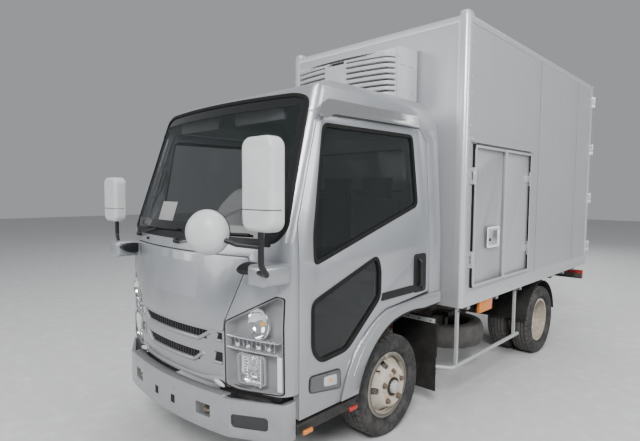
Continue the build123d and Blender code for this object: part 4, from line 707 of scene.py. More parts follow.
class TruckSettings(bpy.types.PropertyGroup):
    """Sizes and colours that a user may change."""

    cab_colour: bpy.props.FloatVectorProperty(
        name="Cab colour", description="Metallic paint of the cab", subtype="COLOR", size=3, min=0, max=1,
        default=(0.37, 0.385, 0.405),
    )
    box_colour: bpy.props.FloatVectorProperty(
        name="Box colour", description="Sheets of the insulated box", subtype="COLOR", size=3, min=0, max=1,
        default=(0.43, 0.445, 0.465),
    )
    wheel_colour: bpy.props.FloatVectorProperty(
        name="Wheel colour", description="Enamel of the wheel discs", subtype="COLOR", size=3, min=0, max=1,
        default=(0.50, 0.455, 0.375),
    )
    unit_colour: bpy.props.FloatVectorProperty(
        name="Cooling unit colour", description="Moulded housing of the cooling unit", subtype="COLOR", size=3,
        min=0, max=1, default=(0.43, 0.44, 0.45),
    )
    dirt: bpy.props.FloatProperty(
        name="Dirt", description="How much road dust lies low down", subtype="FACTOR", min=0, max=1, default=0.35
    )
    glass_alpha: bpy.props.FloatProperty(
        name="Glass density", description="How dark the tinted panes are", subtype="FACTOR", min=0, max=1, default=0.5
    )
    panel_edge: bpy.props.FloatProperty(
        name="Panel edge", description="Rounding of the body panels' edges", unit="LENGTH", min=0, default=0.004
    )
    tread_depth: bpy.props.FloatProperty(
        name="Tread depth", description="Depth of the tyres' grooves", unit="LENGTH", min=0, default=0.008
    )
    seal_width: bpy.props.FloatProperty(
        name="Seal width", description="Width of the windows' rubber seals", unit="LENGTH", min=0, default=0.020
    )
    lens_length: bpy.props.FloatProperty(
        name="Lens", description="The camera's focal length for a 36 mm frame", unit="NONE", min=1, default=26.88
    )


def finishes(settings):
    """Every finish by name: the recipe, its colour and its own values."""
    cab, box, wheel, unit = (tuple(c) for c in (
        settings.cab_colour, settings.box_colour, settings.wheel_colour, settings.unit_colour
    ))
    black = (0.006, 0.006, 0.007)
    return {
        "Cab paint": (metallic_paint, cab, {}),
        "Arch paint": (metallic_paint, tuple(c * 0.9 for c in cab), {}),
        "Grille paint": (metallic_paint, tuple(c * 0.92 for c in cab), {}),
        "Box sheet": (wall_panel, box, {}),
        "Box rail": (brushed, (0.66, 0.67, 0.68), {"metal": 0.6, "rough": 0.36}),
        "Box post": (brushed, (0.66, 0.67, 0.68), {"metal": 0.6, "rough": 0.36, "grain": (90, 90, 4)}),
        "Floor aluminium": (brushed, (0.42, 0.43, 0.44), {"metal": 0.7, "rough": 0.5}),
        "Bright steel": (brushed, (0.62, 0.62, 0.61), {"metal": 0.95, "rough": 0.18}),
        "Visor steel": (brushed, (0.80, 0.80, 0.79), {"metal": 1.0, "rough": 0.12}),
        "Guard tube": (brushed, (0.45, 0.46, 0.46), {"metal": 0.3, "rough": 0.5}),
        "Unit moulding": (grained, unit, {"rough": 0.45, "grain": 900, "depth": 0.0002, "dirt": 0}),
        "Mirror moulding": (grained, (0.52, 0.53, 0.535), {"rough": 0.36, "grain": 1200, "depth": 0.0001, "dirt": 0}),
        "Black moulding": (grained, black, {"rough": 0.5, "dirt": 0.5, "Specular_IOR_Level": 0.35}),
        "Satin black": (grained, (0.005, 0.005, 0.006), {"rough": 0.36, "depth": 0.0001, "dirt": 0.4}),
        "Black rubber": (
            grained, (0.005, 0.005, 0.005), {"rough": 0.62, "grain": 260, "dirt": 0.4, "Specular_IOR_Level": 0.25}
        ),
        "Step strip": (grained, (0.13, 0.135, 0.14), {"rough": 0.6, "grain": 340, "depth": 0.0012}),
        # Painted shade: a matte black for holes, slots, recesses and the inside behind the grille, where there is only
        # shade; also the dark seam line round the mirrors' housings.
        "Dark hollow": (grained, (0.006, 0.006, 0.006), {"rough": 0.9, "dirt": 0}),
        "Dark mesh": (grained, (0.018, 0.018, 0.019), {"rough": 0.55, "dirt": 0.4}),
        "Cabin moulding": (grained, (0.10, 0.10, 0.105), {"rough": 0.6, "grain": 700, "dirt": 0}),
        "Cabin dark": (grained, (0.030, 0.030, 0.032), {"rough": 0.6, "grain": 700, "dirt": 0}),
        "Blank paper": (grained, (0.74, 0.74, 0.72), {"rough": 0.8, "grain": 900, "depth": 0.0001, "dirt": 0}),
        "White trim": (grained, (0.78, 0.79, 0.80), {"rough": 0.3, "depth": 0.0001, "dirt": 0.3}),
        "Chassis black": (chassis_paint, (0.022, 0.021, 0.020), {}),
        "Castings": (chassis_paint, (0.09, 0.085, 0.08), {"rust": 0.7}),
        "Rusty steel": (chassis_paint, (0.13, 0.085, 0.055), {"rust": 0.9}),
        "Exhaust steel": (chassis_paint, (0.26, 0.235, 0.205), {"rust": 0.6}),
        "Tank steel": (chassis_paint, (0.05, 0.05, 0.05), {"rust": 0.25}),
        "Red cable": (grained, (0.20, 0.035, 0.02), {"rough": 0.5, "dirt": 0.5}),
        "Door glass": (clear_pane, (0.010, 0.013, 0.013), {"alpha": settings.glass_alpha}),
        "Windscreen glass": (windscreen, (0.022, 0.030, 0.030), {}),
        "Clear lens": (clear_pane, (0.42, 0.44, 0.46), {"alpha": 0.12}),
        "Ribbed lens": (clear_pane, (0.66, 0.69, 0.72), {"alpha": 0.42, "ribs": 60.0}),
        "Amber lens": (clear_pane, (0.72, 0.22, 0.02), {"alpha": 0.85, "ribs": 90.0}),
        "Red lens": (clear_pane, (0.42, 0.012, 0.010), {"alpha": 0.88, "ribs": 90.0}),
        "Pale lamp": (clear_pane, (0.56, 0.58, 0.60), {"alpha": 0.9}),
        "Lamp bulb": (clear_pane, (0.80, 0.42, 0.10), {"alpha": 0.8}),
        "Seam grey": (grained, (0.11, 0.11, 0.115), {"rough": 0.7, "depth": 0.0001, "dirt": 0}),
        "Fog lens": (clear_pane, (0.012, 0.013, 0.014), {"alpha": 0.9, "ribs": 60.0}),
        "Lamp tub": (grained, (0.26, 0.26, 0.265), {"rough": 0.35, "depth": 0.0001, "dirt": 0}),
        "Pale field": (metallic_paint, tuple(min(c * 1.12, 1) for c in cab), {}),
        "Reflector": (mirror_metal, (0.86, 0.87, 0.88), {"rough": 0.10}),
        "Mirror glass": (mirror_metal, (0.70, 0.73, 0.75), {"rough": 0.02}),
        "Woven cloth": (woven, (0.035, 0.036, 0.040), {}),
        "Front left enamel": (wheel_enamel, wheel, {"centre": (FRONT_X, WHEEL_Y, AXLE_Z)}),
        "Rear enamel": (wheel_enamel, wheel, {"centre": (REAR_X, WHEEL_Y, AXLE_Z)}),
        "Front tyre rubber": (tread_rubber, (0.019, 0.019, 0.020), {"centre": (FRONT_X, 0, AXLE_Z)}),
        "Rear tyre rubber": (tread_rubber, (0.019, 0.019, 0.020), {"centre": (REAR_X, 0, AXLE_Z)}),
        "Spare tyre rubber": (grained, (0.022, 0.022, 0.022), {"rough": 0.75, "grain": 300, "dirt": 1.2}),
        "Studio floor": (grained, (0.56, 0.56, 0.56), {"rough": 0.75, "grain": 90, "depth": 0.0004, "dirt": 0}),
    }


def paint(piece, finish):
    """Give every face of a piece one finish."""
    if piece.data.materials:
        for index in range(len(piece.data.materials)):
            piece.data.materials[index] = bpy.data.materials[finish]
    else:
        piece.data.materials.append(bpy.data.materials[finish])
    return piece


def dress(piece, body, finish):
    """Give a piece its finish and let it ride on a body."""
    paint(piece, finish)
    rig.ride(piece, body)


NODE_BODY = {
    node: body for body, nodes in frame["record"]["behaviour"]["bodies"].items() for node in nodes
}


def copy_of(node, name):
    """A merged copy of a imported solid, its flat faces whole again."""
    piece = copied(frame["nodes"][node], name)
    piece.parent = None
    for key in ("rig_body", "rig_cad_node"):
        if key in piece:
            del piece[key]
    return edited(piece, MERGE, (bpy.ops.mesh.dissolve_limited, {"angle_limit": math.radians(1.0)}))


def softened(node, finish, edge):
    """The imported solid's copy with rounded edges, in its place."""
    piece = rounded(copy_of(node, node + "_panel"), edge, angle=35)
    dress(piece, NODE_BODY[node], finish)
    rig.replaces(piece, node)


KEPT_NODES = (
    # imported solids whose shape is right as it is: node, finish
    ("ladder_frame", "Chassis black"),
    ("front_axle", "Castings"),
    ("leaf_springs", "Chassis black"),
    ("rear_axle", "Castings"),
    ("prop_shaft", "Chassis black"),
    ("engine_block", "Castings"),
    ("exhaust", "Exhaust steel"),
    ("side_guards", "Guard tube"),
    ("knuckle_left", "Castings"),
    ("knuckle_right", "Castings"),
    ("box_floor", "Floor aluminium"),
    ("box_front_wall", "Box sheet"),
    ("box_roof", "Box sheet"),
    ("box_side_left", "Box sheet"),
    ("box_side_right", "Box sheet"),
    ("cab_floor", "Cabin dark"),
    ("door_glass_left", "Door glass"),
    ("door_glass_right", "Door glass"),
    ("cab_glass", "Windscreen glass"),
)
SOFT_NODES = (
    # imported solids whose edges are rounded: node, finish, rounding in metres
    ("cab_front", "Cab paint", 0.0035),
    ("cab_rear", "Cab paint", 0.004),
    ("cab_roof", "Cab paint", 0.004),
    ("front_lid", "Cab paint", 0.005),
    ("door_left", "Cab paint", 0.004),
    ("door_right", "Cab paint", 0.004),
    ("wheel_arches", "Arch paint", 0.002),
    ("front_bumper", "Cab paint", 0.008),
    ("box_frame", "Box rail", 0.004),
    ("side_door_front", "Box sheet", 0.002),
    ("side_door_rear", "Box sheet", 0.002),
    ("rear_door_left", "Box sheet", 0.002),
    ("rear_door_right", "Box sheet", 0.002),
    ("cooling_unit", "Unit moulding", 0.003),
    ("mirrors", "Mirror moulding", 0.002),
    ("mudguards", "Black rubber", 0.003),
    ("cab_steps", "Black moulding", 0.008),
    ("battery_box", "Black moulding", 0.006),
    ("fuel_tank", "Tank steel", 0.004),
    ("front_rim_left", "Front left enamel", 0.003),
    ("front_rim_right", "Front left enamel", 0.003),
    ("rear_rims_left", "Rear enamel", 0.003),
    ("rear_rims_right", "Rear enamel", 0.003),
    ("grille", "Grille paint", 0.003),
    ("dashboard", "Cabin moulding", 0.010),
    ("steering_wheel", "Cabin dark", 0.003),
    ("chassis_lamps", "Amber lens", 0.004),
    ("spare_wheel", "Spare tyre rubber", 0.003),
)


class TRUCK_OT_finishes(bpy.types.Operator):
    """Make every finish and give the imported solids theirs"""

    bl_idname = "truck.finishes"
    bl_label = "Finishes"

    def execute(self, context):
        settings = context.scene.truck_dressing
        for name, (recipe, colour, values) in finishes(settings).items():
            recipe(name, colour, settings, **values)
        for node, finish in KEPT_NODES:
            paint(frame["nodes"][node], finish)
        return {"FINISHED"}


class TRUCK_OT_panels(bpy.types.Operator):
    """Round the edges of the body panels, the wheels and the mouldings"""

    bl_idname = "truck.panels"
    bl_label = "Panels and mouldings"

    def execute(self, context):
        for node, finish, edge in SOFT_NODES:
            softened(node, finish, edge)
        return {"FINISHED"}


# Outlines and pairs

SIDES = ((1, "left"), (-1, "right"))
DOORS = ("door_left", "door_right")


def rectangle(left, right, bottom, top):
    """The corners of an upright rectangle, in order."""
    return [(left, bottom), (right, bottom), (right, top), (left, top)]


def inset(points, by):
    """A closed outline moved inwards (outwards where by is negative)."""
    count = len(points)
    area = sum(points[i - 1][0] * points[i][1] - points[i][0] * points[i - 1][1] for i in range(count))
    turn = 1 if area > 0 else -1
    result = []
    for index in range(count):
        before, here, after = (Vector(points[(index + step) % count]) for step in (-1, 0, 1))
        first, second = (here - before).normalized(), (after - here).normalized()
        normals = [Vector((-edge.y, edge.x)) * turn for edge in (first, second)]
        half = (normals[0] + normals[1]).normalized()
        result.append(here + half * (by / max(half.dot(normals[0]), 0.35)))
    return result


def frame_ring(name, points, radius, out, into, plane, low, high, edge=0.0):
    """A flat ring along an outline: out past it and into it, rounded corners."""
    outer = corners(inset(points, -out), radius + out)
    inner = corners(inset(points, into), max(radius - into, 0.004))
    return plate(name, [outer, inner], plane, low, high, edge)


def both_sides(piece, bodies, finish):
    """Dress a left-hand piece and its mirror image, on one body or on a left and a right one."""
    left, right = (bodies, bodies) if isinstance(bodies, str) else bodies
    twin = mirrored(piece, piece.name + "_right")
    dress(piece, left, finish)
    dress(twin, right, finish)


def chosen(piece, test):
    """Select the piece's faces that pass a test of their centre, in edit mode."""
    pick(piece)
    bpy.ops.object.mode_set(mode="EDIT")
    bpy.ops.mesh.select_mode(type="FACE")
    bpy.ops.mesh.select_all(action="DESELECT")
    bpy.ops.object.mode_set(mode="OBJECT")
    for polygon in piece.data.polygons:
        polygon.select = bool(test(polygon.center))
    bpy.ops.object.mode_set(mode="EDIT")


def refinished(piece, finish, test):
    """Another finish on the faces whose centre passes a test."""
    piece.data.materials.append(bpy.data.materials[finish])
    for polygon in piece.data.polygons:
        if test(polygon.center):
            polygon.material_index = len(piece.data.materials) - 1


# Wheels

TYRES = (
    # replaced node, body, axle, mid planes, finish
    ("front_tyre_left", "front_wheel_left", FRONT_X, (WHEEL_Y,), "Front tyre rubber"),
    ("front_tyre_right", "front_wheel_right", FRONT_X, (-WHEEL_Y,), "Front tyre rubber"),
    ("rear_tyres_left", "rear_wheels_left", REAR_X, TWIN_Y, "Rear tyre rubber"),
    ("rear_tyres_right", "rear_wheels_right", REAR_X, tuple(-y for y in TWIN_Y), "Rear tyre rubber"),
)
TYRE_WALL = (
    # radius, distance from the mid plane, from the bead to the shoulder
    (0.2045, 0.0635), (0.2230, 0.0635), (0.2260, 0.0690), (0.2310, 0.0745), (0.2335, 0.0745), (0.2345, 0.0790),
    (0.2450, 0.0880), (0.2560, 0.0950), (0.2700, 0.1005), (0.2880, 0.1020), (0.2890, 0.1032), (0.2960, 0.1032),
    (0.2970, 0.1018), (0.3100, 0.0995), (0.3200, 0.0960), (0.3230, 0.0955), (0.3240, 0.0935), (0.3310, 0.0900),
    (0.3365, 0.0855), (0.3410, 0.0800),
)
TYRE_GROOVES = (
    # distance from the mid plane, half width
    (-0.050, 0.0046), (-0.017, 0.0040), (0.017, 0.0040), (0.050, 0.0046),
)
TREAD_RADIUS = 0.3465
TREAD_CROWN = 0.0020
TREAD_HALF = 0.0735
TYRE_STEPS = 240


def tread_radius(along):
    """Radius of the tread at a distance from the mid plane."""
    return TREAD_RADIUS - TREAD_CROWN * (along / TREAD_HALF) ** 2


def tyre_profile(depth):
    """Closed section of a tyre with its grooves, as (radius, distance from the mid plane)."""
    tread = [(tread_radius(-TREAD_HALF), -TREAD_HALF)]
    for place, half in TYRE_GROOVES:
        top = tread_radius(place)
        tread += [(top, place - half), (top - depth, place - half * 0.6), (top - depth, place + half * 0.6)]
        tread += [(top, place + half)]
    tread.append((tread_radius(TREAD_HALF), TREAD_HALF))
    left = [(radius, -along) for radius, along in TYRE_WALL]
    return [*left, *tread, *reversed(TYRE_WALL)]


def tyre(name, x, y, depth):
    """One tyre with notches across its shoulders and its ribs."""
    piece = turned(name, tyre_profile(depth), (x, y, AXLE_Z), steps=TYRE_STEPS)
    step = math.tau / TYRE_STEPS

    def notch(centre):
        along = centre.y - y
        index = int((math.atan2(centre.x - x, centre.z - AXLE_Z) % math.tau) / step)
        radius = math.hypot(centre.x - x, centre.z - AXLE_Z)
        shoulder = radius > 0.3365 and 0.0560 < abs(along) < 0.0850
        rib = radius > 0.3440 and 0.0225 < abs(along) < 0.0445
        return (shoulder and index % 6 == (0 if along > 0 else 3)) or (rib and index % 12 == (2 if along > 0 else 8))

    chosen(piece, notch)
    bpy.ops.mesh.extrude_region_shrink_fatten(TRANSFORM_OT_shrink_fatten={"value": -depth * 0.75})
    bpy.ops.object.mode_set(mode="OBJECT")
    return smooth(piece, 30)


class TRUCK_OT_tyres(bpy.types.Operator):
    """Add the tyres with their grooves and side walls"""

    bl_idname = "truck.tyres"
    bl_label = "Tyres"

    def execute(self, context):
        depth = context.scene.truck_dressing.tread_depth
        for node, body, x, planes, finish in TYRES:
            piece = joined(node + "_treaded", [tyre(node, x, y, depth) for y in planes])
            dress(piece, body, finish)
            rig.replaces(piece, node)
        return {"FINISHED"}


STUD_CIRCLE = 0.104
DRUM_RADIUS = 0.152
WHEEL_SETS = (
    # name, its rims' name, axle, disc's face, hub's end, how far out the drum reaches
    ("front_wheel", "front_rim", "front_wheel", FRONT_X, 0.812, 0.812, 0.795),
    ("rear_wheel", "rear_rims", "rear_wheels", REAR_X, 0.7335, 0.7915, 0.690),
)
HUB_DOME = (
    # radius, distance out from the disc's face
    (0.0, 0.034), (0.012, 0.0338), (0.024, 0.0325), (0.034, 0.0295), (0.0405, 0.0245), (0.0440, 0.0170),
    (0.0452, 0.0080), (0.0455, 0.0005), (0.0, 0.0005),
)
HUB_RING = ((0.0465, 0.0003), (0.0465, 0.007), (0.0500, 0.009), (0.0600, 0.009), (0.0630, 0.0003))
WASHER = ((0.008, 0.0003), (0.0215, 0.0003), (0.0215, 0.0022), (0.0195, 0.0032), (0.008, 0.0032))
RIM_LIP = ((0.2205, 0.0745), (0.2225, 0.0735), (0.2228, 0.0715), (0.2205, 0.0700), (0.2130, 0.0700), (0.2130, 0.0752))


def wheel_fittings(name, bodies, x, face_y, hub_y):
    """Hub cap in its notched ring, studs with nuts and washers, and the valve, on both sides."""
    centre, hub = Vector((x, face_y, AXLE_Z)), Vector((x, hub_y, AXLE_Z))
    both_sides(turned(name + "_hub_cap", HUB_DOME, hub), bodies, "Guard tube")
    ring = turned("ring", HUB_RING, hub)
    tooth = block("tooth", hub + Vector((-0.0042, 0.007, 0.0480)), hub + Vector((0.0042, 0.0125, 0.0605)), 0.001)
    both_sides(joined(name + "_hub_ring", [ring, ring_of(tooth, "teeth", 16, hub)]), bodies, "Black moulding")
    top = centre + Vector((0, 0, STUD_CIRCLE))
    nut = rod("nut", top + Vector((0, 0.002, 0)), top + Vector((0, 0.0175, 0)), 0.0168, sides=6, edge=0.0012)
    stud = rod("stud", top + Vector((0, 0.012, 0)), top + Vector((0, 0.0250, 0)), 0.0085, sides=18, edge=0.001)
    washer = turned("washer", WASHER, top, steps=32)
    both_sides(ring_of(joined("nut", [nut, stud, washer]), name + "_nuts", 5, centre), bodies, "Rusty steel")
    foot = centre + Vector((0.128, -0.052, 0.128))
    stem = rod("stem", foot, foot + Vector((0.006, 0.030, 0.006)), 0.0042, sides=12)
    tip = rod("tip", foot + Vector((0.006, 0.028, 0.006)), foot + Vector((0.008, 0.042, 0.008)), 0.0055, 12, 0.001)
    both_sides(joined(name + "_valve", [stem, tip]), bodies, "Black rubber")


class TRUCK_OT_wheels(bpy.types.Operator):
    """Add the hub caps, the nuts and the valves, and set off the brake drums"""

    bl_idname = "truck.wheels"
    bl_label = "Wheel fittings"

    def execute(self, context):
        for name, rim, body, x, face_y, hub_y, drum_y in WHEEL_SETS:
            wheel_fittings(name, (body + "_left", body + "_right"), x, face_y, hub_y)
            for _, label in SIDES:
                refinished(
                    context.scene.objects[f"{rim}_{label}_panel"], "Castings",
                    lambda at: math.hypot(at.x - x, at.z - AXLE_Z) < DRUM_RADIUS and abs(at.y) < drum_y,
                )
        for side, label in SIDES:
            lip = turned(f"front_rim_lip_{label}", RIM_LIP, (FRONT_X, side * WHEEL_Y, AXLE_Z), out=side)
            dress(lip, f"front_wheel_{label}", "Front left enamel")
        return {"FINISHED"}


# Glazing

SIDE_WINDOW = ((0.806, 1.262), (0.806, 1.420), (0.700, 2.040), (-0.200, 2.050), (-0.240, 1.570), (0.271, 1.420))
LOWER_WINDOW = (
    (0.243, 1.259), (0.208, 1.180), (0.212, 1.000), (0.532, 0.740), (0.754, 0.722), (0.818, 0.796), (0.818, 1.060)
)
SCREEN = (
    (-0.765, 1.398), (-0.808, 1.460), (-0.748, 2.175), (-0.660, 2.205),
    (0.660, 2.205), (0.748, 2.175), (0.808, 1.460), (0.765, 1.398),
)
SECTION_BREAKS = tuple(section[0] for section in CAB_SECTIONS[1:-1])
REAR_WINDOW_X = FRONT_X - 0.540
WIPERS = (
    # pivot, arm's end, blade's ends, each (side, height)
    ((0.000, 1.358), (0.320, 1.420), (0.600, 1.432), (0.040, 1.424)),
    ((-0.620, 1.360), (-0.300, 1.424), (-0.020, 1.430), (-0.580, 1.424)),
)
NOZZLE = (-0.434, 1.346)


def at_axle(points):
    """Side-view points measured from the front axle, in the truck's frame."""
    return [(x + FRONT_X, z) for x, z in points]


def on_side(name, points, radius, low, high, edge=0.0015):
    """A filled plate on the cab's side, from low to high off its surface."""
    piece = plate(name, [corners(at_axle(points), radius)], "Y", low, high, edge)
    return hug_side(sliced(piece, "Z", SECTION_BREAKS[1:]))


def ring_on_side(name, points, radius, out, into, low, high, edge=0.0015):
    """A ring on the cab's side."""
    piece = frame_ring(name, at_axle(points), radius, out, into, "Y", low, high, edge)
    return hug_side(sliced(piece, "Z", SECTION_BREAKS[1:]))


def on_front(piece, inset_by=0.0, pitch=0.05):
    """Cut a flat piece finely enough and lay it on the cab's front."""
    low = min(vertex.co.y for vertex in piece.data.vertices)
    high = max(vertex.co.y for vertex in piece.data.vertices)
    cuts = int((high - low) / pitch)
    sliced(piece, "Y", [low + (high - low) * (index + 1) / (cuts + 1) for index in range(cuts)])
    sliced(piece, "Z", SECTION_BREAKS)
    return hug_front(piece, inset_by)


def front_plate(name, points, radius, low, high, edge, inset_by, pitch=0.05):
    """A filled plate on the cab's front, from low to high off a depth under its surface."""
    outline = corners(points, radius) if radius else points
    return on_front(plate(name, [outline], "X", low, high, edge), inset_by, pitch)


def front_line(points, lift, steps=12):
    """Points between (side, height) stations, lifted off the cab's front."""
    path = []
    for start, end in zip(points, points[1:]):
        for index in range(steps):
            y = start[0] + (end[0] - start[0]) * index / steps
            z = start[1] + (end[1] - start[1]) * index / steps
            path.append((nose_x(y, z) + lift, y, z))
    y, z = points[-1]
    return [*path, (nose_x(y, z) + lift, y, z)]


class TRUCK_OT_glazing(bpy.types.Operator):
    """Add the windows' seals, the wipers and the washer's nozzle"""

    bl_idname = "truck.glazing"
    bl_label = "Seals and wipers"

    def execute(self, context):
        width = context.scene.truck_dressing.seal_width
        for name, outline, radius, out, into, high in (
            ("side_window_seal", SIDE_WINDOW, 0.045, 0.004, width, 0.0022),
            ("lower_window_seal", LOWER_WINDOW, 0.040, 0.012, width * 0.7, 0.0040),
        ):
            both_sides(ring_on_side(name, outline, radius, out, into, -0.026, high), DOORS, "Black rubber")
        seal = frame_ring("screen_seal", SCREEN, 0.05, 0.010, 0.012, "X", -0.012, 0.0030, 0.0015)
        dress(on_front(seal), "cab", "Black rubber")
        seal = frame_ring(
            "rear_window_seal", rectangle(-0.560, 0.560, 1.665, 1.995), 0.06, 0.012, 0.012,
            "X", REAR_WINDOW_X - 0.005, REAR_WINDOW_X + 0.010, 0.002,
        )
        dress(seal, "cab", "Black rubber")
        for index, (pivot, elbow, *blade) in enumerate(WIPERS):
            foot = Vector((nose_x(*pivot), *pivot))
            parts = [
                pipe("arm", front_line([pivot, elbow], 0.024), 0.0055, 0.01),
                pipe("blade", front_line(blade, 0.012), 0.0060, 0.01),
                pipe("spine", front_line(blade, 0.022), 0.0035, 0.01),
                rod("boss", foot + Vector((-0.006, 0, 0)), foot + Vector((0.030, 0, 0.006)), 0.015, 24, 0.003),
            ]
            dress(joined(f"wiper_{index}", parts), "cab", "Satin black")
        foot = Vector((nose_x(*NOZZLE), *NOZZLE))
        start, end = foot - Vector((0.004, 0.014, 0.008)), foot + Vector((0.010, 0.014, 0.008))
        nozzle = block("washer_nozzle", start, end, 0.003)
        dress(nozzle, "cab", "Black moulding")
        return {"FINISHED"}


# The front

SLOTS = (
    # upper and lower edge, half width at each
    (0.883, 0.832, 0.375, 0.290),
    (0.752, 0.700, 0.315, 0.245),
)
SIDE_SLOTS = (
    # upper and lower edge, inner end at each, outer end
    (0.884, 0.842, 0.430, 0.415, 0.462),
    (0.774, 0.716, 0.412, 0.398, 0.462),
)
VALANCE_LAMPS = (
    # half width and height, how far its middle and its shoulder bulge, how far it stands forward, finish
    (0.058, 0.021, 0.004, 0.003, 0.000, "Satin black"),
    (0.052, 0.0155, 0.010, 0.008, 0.004, "Pale lamp"),
)
TOW_HOOK = ((1.120, 0.345), (1.185, 0.345), (1.190, 0.400), (1.120, 0.400))
BUMPER = {"reach": FRONT_X + 1.238, "half": 0.560, "bow": 0.062}
BUMPER_TOP = 0.5635
HOLE_Y = 0.094

LAMP = ((0.480, 0.950), (0.480, 0.600), (0.565, 0.588), (0.824, 0.600), (0.824, 1.112), (0.790, 1.118))
LAMP_SHELVES = (0.876, 0.812)
LAMP_BEADS = (0.545, 0.610, 0.675, 0.735)
LAMP_FINS = 11
BEAD = ((0, 0.0), (0.007, -0.003), (0.010, -0.010), (0.010, -0.016), (0, -0.016))
BEZEL = ((0.552, 0.786), (0.558, 0.622), (0.720, 0.630), (0.716, 0.786))
BOWLS = (
    # piece, side distance, height, radius, depth, mouth under the surface, sides, turn
    ("turn_bowl", 0.676, 0.962, 0.083, 0.050, 0.020, 40, 0),
    ("beam_bowl", 0.632, 0.706, 0.112, 0.052, 0.016, 4, 45),
)
BULBS = (
    # piece, side distance, height, tip under the surface, turned profile, finish
    (
        "turn_bulb", 0.690, 0.958, 0.020, ((0, 0), (0.009, -0.003), (0.013, -0.012), (0.013, -0.030), (0, -0.034)),
        "Lamp bulb",
    ),
    (
        "beam_cap", 0.640, 0.706, 0.022, ((0, 0), (0.014, -0.002), (0.019, -0.009), (0.019, -0.030), (0, -0.030)),
        "Guard tube",
    ),
)


def spread(start, end, steps):
    """Values from start to end at even steps."""
    return [start + (end - start) * index / steps for index in range(steps + 1)]


def bowed(y, reach, half, bow):
    """Where a shallow bow is at a side distance: its middle at reach, its ends bow behind it at half."""
    radius = (half**2 + bow**2) / (2 * bow)
    return reach - radius + math.sqrt(radius**2 - y**2)


def slot_half(z, top, bottom, wide, narrow):
    """Half width of a raked grille slot at a height."""
    return narrow + (wide - narrow) * (z - bottom) / (top - bottom)


def lamp_bowl(name, y, z, radius, depth, back, steps, turn):
    """A hollow reflector that opens forwards."""
    profile = [(radius, 0.0), (radius * 0.93, -0.35 * depth), (radius * 0.70, -0.75 * depth), (radius * 0.25, -depth)]
    inner = [(r + 0.003, a - 0.003) for r, a in reversed(profile)]
    piece = turned(name, [*profile, (0.0, -depth), (0.0, -depth - 0.003), *inner], (0, 0, 0), "X", steps)
    place = Matrix.Translation((nose_x(y, z) - back, y, z))
    piece.data.transform(place @ Matrix.Rotation(math.radians(turn), 4, "X"))
    return piece


